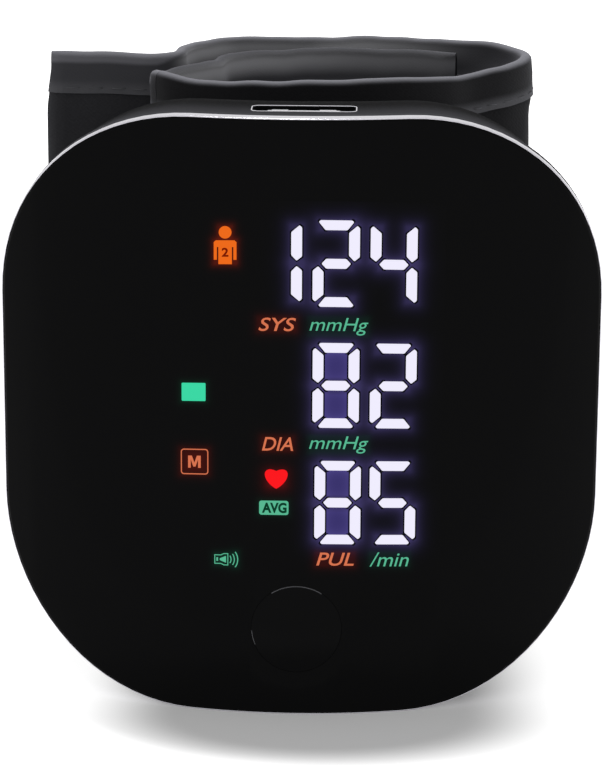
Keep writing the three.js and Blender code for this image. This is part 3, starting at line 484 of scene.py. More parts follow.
# Light through the display's diffuser: white digits, coloured signs, and dim letters cut out of two of them
whiteLight = lightMaterial("whiteLight", "#f0edfe")
signLights = dict(
    orange=lightMaterial("orangeLight", "#ee6a1c"),
    amber=lightMaterial("amberLight", "#d87450"),
    green=lightMaterial("greenLight", "#3cd8a4"),
    teal=lightMaterial("tealLight", "#58b892"),
    red=lightMaterial("redLight", "#fd1a20"),
)
darkGreenLight = lightMaterial("darkGreenLight", "#0b3a28")
darkOrangeLight = lightMaterial("darkOrangeLight", "#7a1a04")
# Black-printed film between the lit shapes, dull
unlitFilm = startMaterial("unlitFilm", "#0c0c10", 0.4, {"Specular IOR Level": 0.02})
slotMaterials = {
    "lens_black": tintedAcrylic,
    "button_black": buttonAcrylic,
    "trim_silver": platedTrim,
    "shell_black": mouldedShell,
    "cuff_cloth": loopKnit,
    "lining_cloth": tricotLining,
    "binding_tape": wovenTape,
}
# Inside the case: name, colour, roughness, then grain in mm, spread of roughness and relief in mm
insides = {
    "inner_plastic": ("glassFilledAbs", "#1d1e20", 0.5, 0.4, 0.1, 0.01),  # dull and mottled
    "guide_white": ("guidePolycarbonate", "#e9e9e6", 0.35, 0.6, 0.08, 0),  # milky white
    "board_green": ("solderMask", "#14512f", 0.35, 0.3, 0.08, 0.004),  # solder mask on glass epoxy, glossy
    "chip_black": ("epoxyPackage", "#1a1a1b", 0.6, 0.15, 0.1, 0.006),  # moulded epoxy package, matt
    "steel": ("zincSteel", "#b9bcc0", 0.3, 0.6, 0.1, 0.003),  # zinc-plated steel, bright and cloudy
    "winding_copper": ("enamelledCopper", "#b5622e", 0.35, 0.25, 0.1, 0.02),  # wire in bright turns
    "cell_silver": ("pouchFoil", "#b4b6b9", 0.32, 1.5, 0.08, 0.05),  # aluminium laminate pouch, dented
    "rubber_black": ("mouldedRubber", "#18181a", 0.7, 0.3, 0.1, 0.01),  # moulded rubber, matt
    "hose_clear": ("siliconeHose", "#b9bdbd", 0.3, 0.8, 0.08, 0),  # silicone hose, cloudy and see-through
    "foam_grey": ("polyurethaneFoam", "#5b5d60", 0.9, 0.6, 0.05, 0.1),  # rough, with open cells
    "bladder_grey": ("bladderFilm", "#77797c", 0.45, 2.0, 0.08, 0.05),  # calendered film, with a soft gloss
}
insideExtras = {"steel": metal, "winding_copper": metal, "cell_silver": metal,
                "hose_clear": {"Transmission Weight": 0.4, "IOR": 1.41}}
insideStretch = {"winding_copper": (0.05, 0.05, 1)}  # the wire runs round the coil
for slot, (name, hexColor, roughness, *grain) in insides.items():
    material = startMaterial(name, hexColor, roughness, insideExtras.get(slot))
    slotMaterials[slot] = grainy(material, *grain, insideStretch.get(slot, (1, 1, 1)))
for part in frame["record"]["subparts"]:
    node = frame["nodes"][part["node"]]
    node.data.materials.clear()
    node.data.materials.append(slotMaterials[part["material_slot"]])
print("materials made:", len(bpy.data.materials))


# Case
def sag(x):
    return face["curveRadius"] - math.sqrt(face["curveRadius"] ** 2 - x * x)


def bendToFace(bm):
    for vert in bm.verts:
        vert.co.y += faceFront + sag(vert.co.x)


def facePlate(inset, depth):
    return uprightPatch(faceWidth - 2 * inset, faceHeight - 2 * inset, face["cornerRadius"] - inset,
                        face["cornerSegments"], (0, depth, faceMiddle))


def faceStrips(step):
    return np.arange(-faceWidth / 2 + step / 2, faceWidth / 2, step)


trim = dict(lip=0.14, setBack=0.15, ledgeFront=1.8, ledge=2.0, depth=3.5, frontRound=0.06,
            plated=2.15, platedFall=0.7)
bm = facePlate(0, trim["setBack"])
bmesh.ops.inset_region(bm, faces=bm.faces[:], thickness=trim["lip"], use_boundary=True, use_even_offset=True)
inner = extrude(bm, [widest(bm)], (0, trim["ledgeFront"] - trim["setBack"], 0))[0]
bmesh.ops.inset_region(bm, faces=[inner], thickness=trim["ledge"], use_even_offset=True)
bmesh.ops.delete(bm, geom=[item for item in bm.faces if len(item.verts) > 4], context="FACES")
rims = [edge for edge in bm.edges if edge.is_boundary]
walls = bmesh.ops.extrude_edge_only(bm, edges=rims)["geom"]
for part in walls:
    if isinstance(part, bmesh.types.BMVert):
        part.co.y = trim["depth"]
bmesh.ops.bridge_loops(bm, edges=[part for part in walls if isinstance(part, bmesh.types.BMEdge)])
faceOut(bm)
bevel(bm, edgesAt(bm, 1, trim["setBack"]), trim["frontRound"], 3)
sliceAcross(bm, 1, [trim["plated"]])
for item in bm.faces:
    item.material_index = 1 if item.calc_center_median().y > trim["plated"] else 0
sliceAcross(bm, 0, faceStrips(face["stripWidth"]))
for vert in bm.verts:
    if abs(vert.co.y - trim["plated"]) < sameMm:
        vert.co.y -= trim["platedFall"] * (2 * vert.co.x / faceWidth) ** 2
bendToFace(bm)
trimRing = makePiece("trimRing", bm, [platedTrim, mouldedShell])
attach(trimRing, "housing")
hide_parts("trim_ring")

shell = dict(wall=1.8, setIn=0.3, front=3.9, straight=12.5, narrowing=0.043,
             roundDepth=15.0, roundInset=9.0, roundSteps=12, frontRound=0.3,
             hollowRadius=26.0, hollowSegments=180,
             bossWall=1.3, bossFloor=0.8, bossBelow=1.2, seatDepth=1.9,
             boreGap=0.3, boreLength=30, boreSegments=32,
             grilleRing=3.0, grilleHole=0.7, grilleHoles=6, grilleBehind=10.2, grilleLength=20,
             grilleSegments=16,
             slotWidth=11.7, slotDepth=3.9, slotCorner=0.8, slotSegments=8, slotMiddle=8.95, slotSide=0.36,
             slotCut=8)
bm = facePlate(shell["setIn"], shell["front"])
extrude(bm, bm.faces[:], (0, shell["straight"] - shell["front"], 0))
faceOut(bm)
back = max(bm.faces, key=lambda item: item.calc_center_median().y)
before = (0.0, 0.0)
for step in range(1, shell["roundSteps"] + 1):
    angle = math.pi / 2 * step / shell["roundSteps"]
    after = (shell["roundInset"] * (1 - math.cos(angle)), shell["roundDepth"] * math.sin(angle))
    bmesh.ops.inset_region(bm, faces=[back], thickness=after[0] - before[0], depth=after[1] - before[1],
                           use_even_offset=True)
    before = after
bevel(bm, edgesAt(bm, 1, shell["front"]), shell["frontRound"], 3)
sliceAcross(bm, 0, faceStrips(face["stripWidth"]))
for vert in bm.verts:
    behind = (vert.co.y - shell["front"]) / (shell["straight"] - shell["front"])
    vert.co.x *= 1 - shell["narrowing"] * min(max(behind, 0), 1)
bendToFace(bm)
bm = modified(bm, "BOOLEAN", rod(shell["hollowRadius"], (0, wristY, faceMiddle), 2 * faceHeight, "Z",
                                 shell["hollowSegments"]))
opened = [item for item in bm.faces if all(
    abs(vert.co.y - faceFront - sag(vert.co.x) - shell["front"]) < closeMm for vert in item.verts)]
bmesh.ops.delete(bm, geom=opened, context="FACES")
bm = modified(bm, "SOLIDIFY", thickness=shell["wall"], offset=-1, use_even_offset=True)
screws = [[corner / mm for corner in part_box(f"case_screw_{i}")] for i in (1, 2, 3, 4)]
bosses = []
bores = []
for low, high in screws:
    headRadius = (high.x - low.x) / 2
    x, z = (low.x + high.x) / 2, (low.z + high.z) / 2
    seat = high.y - shell["seatDepth"]
    rim = faceFront + sag(x) + shell["straight"] + shell["roundDepth"] - shell["bossBelow"]
    bosses.append(rod(headRadius + shell["bossWall"], (x, (seat - shell["bossFloor"] + rim) / 2, z),
                      rim - seat + shell["bossFloor"], "Y", shell["boreSegments"]))
    bores.append(rod(headRadius + shell["boreGap"], (x, seat + shell["boreLength"] / 2, z),
                     shell["boreLength"], "Y", shell["boreSegments"]))
bm = modified(bm, "BOOLEAN", joined(bosses), operation="UNION")
speakerLow, speakerHigh = [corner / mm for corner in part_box("speaker")]
x, z = (speakerLow.x + speakerHigh.x) / 2, (speakerLow.z + speakerHigh.z) / 2
for i in range(shell["grilleHoles"]):
    angle = 2 * math.pi * i / shell["grilleHoles"]
    middle = (x + shell["grilleRing"] * math.cos(angle), speakerHigh.y + shell["grilleBehind"],
              z + shell["grilleRing"] * math.sin(angle))
    bores.append(rod(shell["grilleHole"], middle, shell["grilleLength"], "Y", shell["grilleSegments"]))
slotY = faceFront + shell["slotMiddle"]
slotCut = roundedPatch(shell["slotWidth"], shell["slotDepth"], shell["slotCorner"], shell["slotSegments"])
move(slotCut, (shell["slotSide"], slotY, faceHeight - shell["slotCut"] / 2))
extrude(slotCut, slotCut.faces[:], (0, 0, shell["slotCut"]))
bores.append(slotCut)
bm = modified(bm, "BOOLEAN", joined(bores))
slotTop = faceHeight - shell["setIn"]
rearShell = makePiece("rearShell", bm, [mouldedShell])
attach(rearShell, "housing")
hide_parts("rear_shell")

bezel = dict(width=0.14, rise=0.08, round=0.03, lipWidth=8.2, lipDepth=0.45, fingerWidth=1.9, fingerDepth=1.0,
             fingerSide=2.7, fingerDrop=0.02, lipThickness=0.16, lipRound=0.05)
bm = roundedPatch(shell["slotWidth"] + 2 * bezel["width"], shell["slotDepth"] + 2 * bezel["width"],
                  shell["slotCorner"] + bezel["width"], shell["slotSegments"])
outlined(bm, bezel["width"])
extrude(bm, bm.faces[:], (0, 0, bezel["rise"]))
faceOut(bm)
bevel(bm, edgesAt(bm, 2, bezel["rise"]), bezel["round"], 2)
move(bm, (shell["slotSide"], slotY, slotTop))
slotBezel = makePiece("slotBezel", bm, [platedTrim])
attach(slotBezel, "housing")
slotFront = slotY - shell["slotDepth"] / 2
lipMiddle = slotTop + bezel["rise"] - bezel["lipThickness"] / 2
bm = bmesh.new()
finger = (bezel["fingerWidth"], bezel["fingerDepth"], bezel["fingerDrop"])
for x, width, depth, lower in ((0, bezel["lipWidth"], bezel["lipDepth"], 0.0),
                               (-bezel["fingerSide"], *finger), (bezel["fingerSide"], *finger)):
    middle = (shell["slotSide"] + x, slotFront + depth / 2, lipMiddle - lower)
    bmesh.ops.create_cube(bm, size=1, matrix=Matrix.LocRotScale(
        middle, None, (width, depth, bezel["lipThickness"])))
bevel(bm, bm.edges[:], bezel["lipRound"], 2)
socketLip = makePiece("socketLip", bm, [platedTrim])
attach(socketLip, "housing")
print("case made")

# Display: seven-segment digits and signs, lying in the lens surface
digit = dict(width=5.24, height=9.86, stroke=1.21, barHeight=1.12, cornerRound=0.1, rim=0.17,
             cellHalf=(1.3, 1.5))
digitRows = [dict(text="124", right=10.67, pitch=6.43, middle=53.41),
             dict(text="82", right=10.77, pitch=6.46, middle=39.40),
             dict(text="85", right=10.86, pitch=6.25, middle=25.66)]
litSegments = {"1": "bc", "2": "abged", "4": "fgbc", "5": "afgcd", "8": "abcdefg"}
display = dict(thickness=0.06, rise=0.03, rimRise=0.02, letterRise=0.03, lean=0.25, sliceWidth=0.6)


def layOnLens(bm, rise):
    for vert in bm.verts:
        vert.co.y += faceFront + sag(vert.co.x) - rise
        vert.co.z -= display["lean"] * sag(vert.co.x)


def flatFace(bm, points):
    return bm.faces.new([bm.verts.new((x, 0, z)) for x, z in points])


def segmentOutlines():
    w, h, t, b = digit["width"], digit["height"], digit["stroke"], digit["barHeight"]
    m = h / 2
    top = [(0.85, h), (w - 0.85, h), (w - 0.66, h - 0.2), (w - 1.4, h - b), (1.4, h - b), (0.66, h - 0.2)]
    upper = [(0, h - 0.87), (0.28, h - 0.6), (t, h - 1.4), (t, m + 0.93), (t / 2, m + 0.3), (0, m + 0.8)]
    middle = [(0.98, m), (1.5, m + b / 2), (w - 1.5, m + b / 2), (w - 0.98, m), (w - 1.5, m - b / 2),
              (1.5, m - b / 2)]
    flips = {"a": (top, 1, 1), "d": (top, 1, -1), "f": (upper, 1, 1), "b": (upper, -1, 1),
             "e": (upper, 1, -1), "c": (upper, -1, -1), "g": (middle, 1, 1)}
    return {name: [((x - w / 2) * flipX, (z - m) * flipZ) for x, z in points]
            for name, (points, flipX, flipZ) in flips.items()}


def raiseShape(bm):
    faceOut(bm)
    extrude(bm, bm.faces[:], (0, display["thickness"], 0))
    xs = [vert.co.x for vert in bm.verts]
    sliceAcross(bm, 0, np.arange(min(xs) + display["sliceWidth"], max(xs), display["sliceWidth"]))
    layOnLens(bm, display["rise"])


def spanBox(points):
    xs, zs = zip(*points)
    return (min(xs) + max(xs)) / 2, (min(zs) + max(zs)) / 2, (max(xs) - min(xs)) / 2, (max(zs) - min(zs)) / 2


outlines = segmentOutlines()
bars = []
cells = []
rims = bmesh.new()
bm = bmesh.new()
for row in digitRows:
    for place, character in enumerate(reversed(row["text"])):
        middle = row["right"] - place * row["pitch"]
        for name in litSegments[character]:
            points = [(x + middle, z + row["middle"]) for x, z in outlines[name]]
            flatFace(bm, points)
            x, z, halfX, halfZ = spanBox(points)
            bars.append((x, z, halfX, halfZ))
            widerX, widerZ = 1 + digit["rim"] / halfX, 1 + digit["rim"] / halfZ
            flatFace(rims, [(x + (px - x) * widerX, z + (pz - z) * widerZ) for px, pz in points])
        if character == "8":
            cells += [(middle, row["middle"] + side * digit["height"] / 4, *digit["cellHalf"])
                      for side in (-1, 1)]
layOnLens(rims, display["rimRise"])
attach(makePiece("digitRims", rims, [unlitFilm]), "housing")
bevel(bm, bm.verts[:], digit["cornerRound"], 2, "VERTICES")
raiseShape(bm)
digits = makePiece("digits", bm, [whiteLight])
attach(digits, "housing")


def fitFlat(bm, span):
    x0, x1, z0, z1 = span
    low = Vector([min(vert.co[i] for vert in bm.verts) for i in range(3)])
    high = Vector([max(vert.co[i] for vert in bm.verts) for i in range(3)])
    for vert in bm.verts:
        vert.co = Vector((x0 + (vert.co.x - low.x) / (high.x - low.x) * (x1 - x0), 0,
                          z0 + (vert.co.z - low.z) / (high.z - low.z) * (z1 - z0)))
    return bm


def lettering(text, span, slant, weight):
    curve = bpy.data.curves.new("lettering", "FONT")
    curve.body = text
    curve.shear = slant
    curve.offset = weight
    curve.resolution_u = 4
    letters = bpy.data.objects.new("lettering", curve)
    scene.collection.objects.link(letters)
    bm = bmesh.new()
    bm.from_mesh(letters.evaluated_get(bpy.context.evaluated_depsgraph_get()).to_mesh())
    bpy.data.objects.remove(letters)
    bpy.data.curves.remove(curve)
    bmesh.ops.remove_doubles(bm, verts=bm.verts, dist=1e-5)
    bmesh.ops.rotate(bm, matrix=upright, verts=bm.verts)
    return fitFlat(bm, span)


def patchAt(span, radius):
    x0, x1, z0, z1 = span
    return uprightPatch(x1 - x0, z1 - z0, radius, 4, ((x0 + x1) / 2, 0, (z0 + z1) / 2))


def polygon(points):
    bm = bmesh.new()
    flatFace(bm, points)
    bm.normal_update()
    return bm


def arcBand(middle, radius, width, fromDegrees, toDegrees):
    bm = bmesh.new()
    x, z = middle
    start = math.radians(fromDegrees)
    ends = [bm.verts.new((x + r * math.cos(start), 0, z + r * math.sin(start)))
            for r in (radius - width / 2, radius + width / 2)]
    edge = bm.edges.new(ends)
    bmesh.ops.spin(bm, geom=ends + [edge], cent=(x, 0, z), axis=(0, -1, 0), steps=10,
                   angle=math.radians(toDegrees - fromDegrees))
    return bm


turns = [2 * math.pi * i / 40 for i in range(40)]
personMiddle = -8.17
signs = dict(
    orange=[polygon([(personMiddle + 0.72 * math.cos(t), 56.87 + 0.71 * math.sin(t)) for t in turns]),
            polygon([(personMiddle + x, z) for x, z in (
                (-1.28, 55.75), (-1.05, 55.96), (1.05, 55.96), (1.28, 55.75), (1.28, 53.75), (0.93, 53.75),
                (0.93, 55.2), (0.76, 55.2), (0.76, 53.25), (-0.76, 53.25), (-0.76, 55.2), (-0.93, 55.2),
                (-0.93, 53.75), (-1.28, 53.75))])],
    amber=[lettering("SYS", (-4.41, -0.21, 45.63, 47.17), 0.25, 0.008),
           lettering("DIA", (-3.99, -0.46, 31.72, 33.31), 0.25, 0.008),
           lettering("PUL", (2.25, 6.53, 18.14, 19.70), 0.25, 0.008),
           outlined(patchAt((-13.3, -10.12, 28.76, 31.78), 0.36), 0.12),
           polygon([(-12.46 + x * 1.46, 29.54 + z * 1.43) for x, z in (
               (0, 0), (0, 1), (0.3, 1), (0.5, 0.42), (0.7, 1), (1, 1), (1, 0), (0.79, 0), (0.79, 0.7),
               (0.59, 0.1), (0.41, 0.1), (0.21, 0.7), (0.21, 0))])],
    green=[patchAt((-13.17, -10.42, 37.41, 39.52), 0.12)],
    teal=[patchAt((-4.3, -0.95, 24.13, 25.81), 0.28),
          lettering("mmHg", (1.31, 7.89, 45.23, 47.23), 0.25, 0.0),
          lettering("mmHg", (1.34, 8.04, 31.49, 33.49), 0.25, 0.0),
          lettering("/min", (8.34, 12.83, 18.07, 19.76), 0.25, 0.0),
          outlined(polygon([(-9.45, 18.15), (-8.7, 18.15), (-8.35, 17.98), (-7.84, 17.98), (-7.84, 19.44),
                            (-8.35, 19.44), (-8.7, 19.27), (-9.45, 19.27)]), 0.1),
          polygon([(-9.22, 18.5), (-9.02, 18.5), (-9.02, 18.93), (-9.22, 18.93)]),
          polygon([(-8.82, 18.6), (-8.1, 18.3), (-8.1, 19.12), (-8.82, 18.82)]),
          arcBand((-8.3, 18.71), 0.78, 0.11, -34, 34),
          arcBand((-8.3, 18.71), 1.16, 0.11, -34, 34),
          arcBand((-8.3, 18.71), 1.55, 0.12, -36, 36)],
    red=[fitFlat(polygon([(math.sin(t), math.cos(t) + 0.62 * abs(math.sin(t))) for t in turns]),
                 (-3.66, -1.06, 27.23, 29.51))],
)
signBoxes = {color: [spanBox([(vert.co.x, vert.co.z) for vert in shape.verts]) for shape in shapes]
             for color, shapes in signs.items()}
signBoxes["red"] = [(x, z, halfX / 2, halfZ / 2) for x, z, halfX, halfZ in signBoxes["red"]]  # glows roundly
for color, material in signLights.items():
    bm = joined(signs[color])
    raiseShape(bm)
    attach(makePiece(color + "Signs", bm, [material]), "housing")
memory = lettering("AVG", (-3.98, -1.16, 24.35, 25.59), 0.0, 0.04)
number = lettering("2", (personMiddle - 0.38, personMiddle + 0.38, 54.1, 55.12), 0.0, 0.03)
for name, letters, material in (("memoryLetters", memory, darkGreenLight),
                                ("personNumber", number, darkOrangeLight)):
    move(letters, (0, -display["letterRise"], 0))
    raiseShape(letters)
    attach(makePiece(name, letters, [material]), "housing")

# Light that scatters round the lit shapes, in the film on the lens
film = dict(span=(-16.5, 16.5), heights=(16.4, 60.5), cell=0.3, rise=0.012, paintedGlow="#070707",
            # colour, fade in mm and strength
            glows=dict(bars=("#3a3360", 0.5, 0.6), cells=("#332c66", 0.3, 1.0), orange=("#6a1602", 0.25, 0.5),
                       amber=("#4c0a01", 0.3, 0.4), green=("#04301e", 0.25, 0.5), teal=("#04281c", 0.25, 0.4),
                       red=("#700408", 0.45, 0.7)))
bm = uprightGrid(film["span"], film["heights"], film["cell"])
places = np.array([(vert.co.x, vert.co.z) for vert in bm.verts])
# The film starts from an even painted glow that lifts its black, and the light scattered round the lit shapes
# is added to it
light = np.tile(linear(film["paintedGlow"])[:3], (len(places), 1))


def addGlow(boxes, hexColor, fade, strength):
    color = np.array(linear(hexColor)[:3])
    for x, z, halfX, halfZ in boxes:
        outside = np.maximum(np.abs(places - (x, z)) - (halfX, halfZ), 0)
        light[:] += color * np.exp(-np.hypot(*outside.T) / fade)[:, None] * strength


def setGlow(piece, colors):
    layer = piece.data.attributes.new("glow", "FLOAT_COLOR", "POINT")
    layer.data.foreach_set("color", np.hstack([colors, np.ones((len(colors), 1))]).astype(np.float32).ravel())


for kind, glowing in dict(bars=bars, cells=cells, **signBoxes).items():
    addGlow(glowing, *film["glows"][kind])
layOnLens(bm, film["rise"])
displayFilm = makePiece("displayFilm", bm, [tintedAcrylic])
setGlow(displayFilm, light)
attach(displayFilm, "housing")

buttonLow, buttonHigh = [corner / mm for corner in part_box("start_button")]
buttonMiddle = (buttonLow.z + buttonHigh.z) / 2
lens = dict(inset=0.2, thickness=1.5, frontRound=0.35, buttonHole=5.23, holeCut=10, holeRound=0.03,
            holeSegments=96)
bm = facePlate(lens["inset"], 0)
extrude(bm, bm.faces[:], (0, lens["thickness"], 0))
faceOut(bm)
bevel(bm, edgesAt(bm, 1, 0.0), lens["frontRound"], 4)
bm = modified(bm, "BOOLEAN", rod(lens["buttonHole"], (0, 0, buttonMiddle), lens["holeCut"], "Y",
                                 lens["holeSegments"]))
holeRim = [edge for edge in edgesAt(bm, 1, 0.0) if all(
    abs(math.hypot(vert.co.x, vert.co.z - buttonMiddle) - lens["buttonHole"]) < closeMm
    for vert in edge.verts)]
bevel(bm, holeRim, lens["holeRound"], 2)
sliceAcross(bm, 0, faceStrips(face["stripWidth"]))
bendToFace(bm)
frontLens = makePiece("frontLens", bm, [tintedAcrylic])
# The lens carries only the even painted glow that lifts its black
setGlow(frontLens, np.tile(linear(film["paintedGlow"])[:3], (len(frontLens.data.vertices), 1)))
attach(frontLens, "housing")
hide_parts("front_lens")

button = dict(radius=5.2, thickness=1.4, edgeRound=0.1, sliceReach=4.8, sliceWidth=0.6,
              highlightTop=34, highlightSide=11, highlightSideAt=103)
bm = rod(button["radius"], (0, button["thickness"] / 2, buttonMiddle), button["thickness"], "Y",
         lens["holeSegments"])
bevel(bm, edgesAt(bm, 1, 0.0), button["edgeRound"], 3)
bm.normal_update()
# Painted highlight: sloping edge faces in the top arc and in a short arc on the left take the pale edge
# material
for item in bm.faces:
    turn = math.degrees(math.atan2(-item.normal.x, item.normal.z)) % 360
    isHighlit = (min(turn, 360 - turn) < button["highlightTop"]
                or abs(turn - button["highlightSideAt"]) < button["highlightSide"])
    slopes = 0.02 < -item.normal.y < 0.98
    item.material_index = 1 if slopes and isHighlit else 0
sliceAcross(bm, 0, np.arange(-button["sliceReach"], button["sliceReach"] + 0.1, button["sliceWidth"]))
bendToFace(bm)
startButton = makePiece("startButton", bm, [buttonAcrylic, buttonEdgeHighlight])
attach(startButton, "start_button")
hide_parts("start_button")
print("display and lens made")

# Cuff: one padded band, drawn flat (x along it, y across its thickness, z up) and wrapped along its route
cuff = dict(radius=21.825, frontFrom=-50, frontTo=62, frontStep=14,
            strapStations=[(78, 2.4), (90, 4), (103, 3.9), (117, 2.8), (132, 0.6), (148, -2), (167, -4.9),
                           (187, -5.8), (206, -5.6), (225, -4.8), (243, -4.7), (257, -5.0)],
            tail=[(-16.9, 0.9), (-19.2, -0.8), (-23, -1.1), (-32.3, -1.1)], tailTip=0.2,
            flapOn=[2.94, 4, 5, 6, 7, 8, 9, 10], flapLay=4.6,
            flapStations=[(262, -9.5), (279, -7.8), (293, -3.9), (302, -1)], divisions=40,
            thickness=3.55, bottom=0.2, height=69.6, flapBottom=0.6, flapTop=68.4, cell=1.1, hemReach=2,
            bendAt=(86, 3.5), bendSpread=13.0, bendFlare=0.75, bendTopFlare=0.7,
            foldGap=0.05, foldMeet=6.4, foldSpread=6.0, foldTopFlare=1.2, tailRun=8, tailStretch=(0.35, 1.0),
            wave=0.5, waveLength=10, shortWave=0.4, shortWaveLength=4,
            edgeSag=[(0, 0), (2.5, 0.2), (5.5, 0.6), (9.5, 0.75), (12, 0.5), (16, 0.72), (19, 0.35),
                     (22, 0.1), (29, 0.15), (33, 0.4), (36.5, 0.65), (40.5, 1.1), (43, 1.05), (45.5, 0.6),
                     (50.5, 0.4), (55, 0)])


def stationPoint(degrees, beyond):
    angle = math.radians(degrees)
    reach = cuff["radius"] + beyond
    return Vector((reach * math.sin(angle), wristY - reach * math.cos(angle)))


def routePoint(points, station):
    i = min(int(station), len(points) - 2)
    p1, p2 = points[i], points[i + 1]
    p0 = points[i - 1] if i > 0 else 2 * p1 - p2
    p3 = points[i + 2] if i + 2 < len(points) else 2 * p2 - p1
    d0, d1, d2 = [math.sqrt((b - a).length) for a, b in ((p0, p1), (p1, p2), (p2, p3))]
    leave = ((p1 - p0) / d0 - (p2 - p0) / (d0 + d1) + (p2 - p1) / d1) * d1
    arrive = ((p2 - p1) / d1 - (p3 - p1) / (d1 + d2) + (p3 - p2) / d2) * d1
    t = station - i
    return (p1 + leave * t + (3 * (p2 - p1) - 2 * leave - arrive) * t ** 2
            + (2 * (p1 - p2) + leave + arrive) * t ** 3)


frontPoints = [stationPoint(d, 0) for d in range(cuff["frontFrom"], cuff["frontTo"] + 1, cuff["frontStep"])]
strapPoints = ([stationPoint(*station) for station in cuff["strapStations"]]
               + [Vector((x, wristY + y)) for x, y in cuff["tail"]])
flapPoints = []
for station in cuff["flapOn"]:
    here = routePoint(strapPoints, station)
    along = (routePoint(strapPoints, station + 0.001) - here).normalized()
    flapPoints.append(here + Vector((-along.y, along.x)) * cuff["flapLay"])
flapPoints += [stationPoint(*station) for station in cuff["flapStations"]]
bandPoints = flapPoints + frontPoints + strapPoints
divisions = cuff["divisions"]
tailTip = bandPoints[-1] + (bandPoints[-1] - bandPoints[-2]) * cuff["tailTip"]
routeSteps = range((len(bandPoints) - 1) * divisions + 1)
route = np.array([routePoint(bandPoints, i / divisions) for i in routeSteps] + [tailTip])
routeLengths = np.concatenate([[0], np.cumsum(np.hypot(*np.diff(route, axis=0).T))])
routeNormals = np.gradient(route, axis=0)[:, ::-1] * (-1, 1)
routeNormals /= np.hypot(*routeNormals.T)[:, None]
foldLength = routeLengths[len(flapPoints) * divisions]
strapLength = routeLengths[(len(flapPoints) + len(frontPoints)) * divisions]
tailLength = routeLengths[-2]
bendPoint = stationPoint(*cuff["bendAt"])
bendLength = routeLengths[np.argmin(np.hypot(*(route - np.array(bendPoint)).T))]
print("cuff route: flap", round(foldLength, 1), "mm, whole", round(tailLength, 1), "mm")


def wrapOnRoute(bm):
    flat = np.array([vert.co for vert in bm.verts])
    hem = np.clip((flat[:, 2] - cuff["height"] + tape["width"] + cuff["hemReach"]) / tape["width"], 0, 1)
    atBend = np.exp(-((flat[:, 0] - bendLength) / cuff["bendSpread"]) ** 2)
    flat[:, 1] -= atBend * (cuff["bendFlare"] + cuff["bendTopFlare"] * hem)
    flat[:, 1] -= np.exp(-((flat[:, 0] - foldLength) / cuff["foldSpread"]) ** 2) * cuff["foldTopFlare"] * hem
    atTail = np.clip(1 - (tailLength - flat[:, 0]) / cuff["tailRun"], 0, 1)
    atTop, below = cuff["tailStretch"]
    flat[:, 0] += atTail * (below + (atTop - below) * hem)
    wrapped = [np.interp(flat[:, 0], routeLengths, route[:, i])
               + np.interp(flat[:, 0], routeLengths, routeNormals[:, i]) * flat[:, 1] for i in (0, 1)]
    for vert, x, y in zip(bm.verts, *wrapped):
        vert.co.x = x
        vert.co.y = y


def mapCloth(bm, acrossAxis=2):
    layer = bm.loops.layers.uv.new("cloth")
    for item in bm.faces:
        for loop in item.loops:
            loop[layer].uv = (loop.vert.co.x * mm, loop.vert.co[acrossAxis] * mm)


def smoothStep(value):
    value = min(max(value, 0), 1)
    return value * value * (3 - 2 * value)


# Fixed numbers inside noise only choose which stretch of it is used
def edgeWave(length, height):
    level = 1 if height > cuff["height"] / 2 else -1
    wave = (noise.noise((length / cuff["waveLength"], level * 5.3, 0.4))
            + cuff["shortWave"] * noise.noise((length / cuff["shortWaveLength"], level * 2.1, 3.7)))
    lift = cuff["wave"] * (wave if level > 0 else abs(wave))
    past = length - foldLength
    if past < 0:  # the flap comes level with the band at the fold
        step = cuff["height"] - cuff["flapTop"] if level > 0 else cuff["bottom"] - cuff["flapBottom"]
        lift += step * smoothStep(1 + past / cuff["foldMeet"])
    elif level > 0:  # the soft front edge sags between the fold and the bend
        lift -= np.interp((past - 1, past, past + 1), *zip(*cuff["edgeSag"])).mean()
    return lift * abs(2 * height / cuff["height"] - 1) ** 2


pad = dict(edgeCover=3.4, edgeHalf=0.8, seamHalf=1.3, crown=1.65, crownRun=9, fill=0.45,
           pucker=0.14, puckerRun=5, puckerSize=(3.2, 14), fold=0.12, foldSize=(26, 7.5))
tape = dict(width=5.0, half=1.32, topHalf=0.62, flareCurve=1.5, thickness=0.34, tip=0.6, cell=0.8, columns=15,
            ripple=0.08, rippleSize=4.5, endRound=1.6, endThin=0.15)
stitch = dict(length=2.0, pitch=2.7, width=0.17, flatten=0.8, fromEdge=4.3, endGap=1, lift=-0.1)


def padHalf(length, height, low, high, side):
    edge = min(height - low, high - height)
    rise = smoothStep((edge - tape["width"]) / pad["crownRun"])
    half = pad["seamHalf"] + (pad["crown"] - pad["seamHalf"]) * rise
    if edge < tape["width"]:
        half = pad["edgeHalf"] + (pad["seamHalf"] - pad["edgeHalf"]) * smoothStep(
            (edge - pad["edgeCover"]) / (tape["width"] - pad["edgeCover"]))
    atSeam = math.exp(-((edge - tape["width"]) / pad["puckerRun"]) ** 2)
    across, up = pad["puckerSize"]
    pucker = pad["pucker"] * atSeam * noise.noise((length / across, side * 7, height / up))
    across, up = pad["foldSize"]
    fold = pad["fold"] * rise * noise.noise((length / across, height / up, side * 3 + 11))
    return half + pucker + fold


def endTaper(length, freeEnd):
    past = 1 - min(abs(length - freeEnd) / tape["endRound"], 1)
    return tape["endThin"] + (1 - tape["endThin"]) * math.sqrt(1 - past * past)


swell = dict(scale=0.01, pressure=4.0, frames=20, cap=0.55, slack=-0.02, heldEnd=1.2)


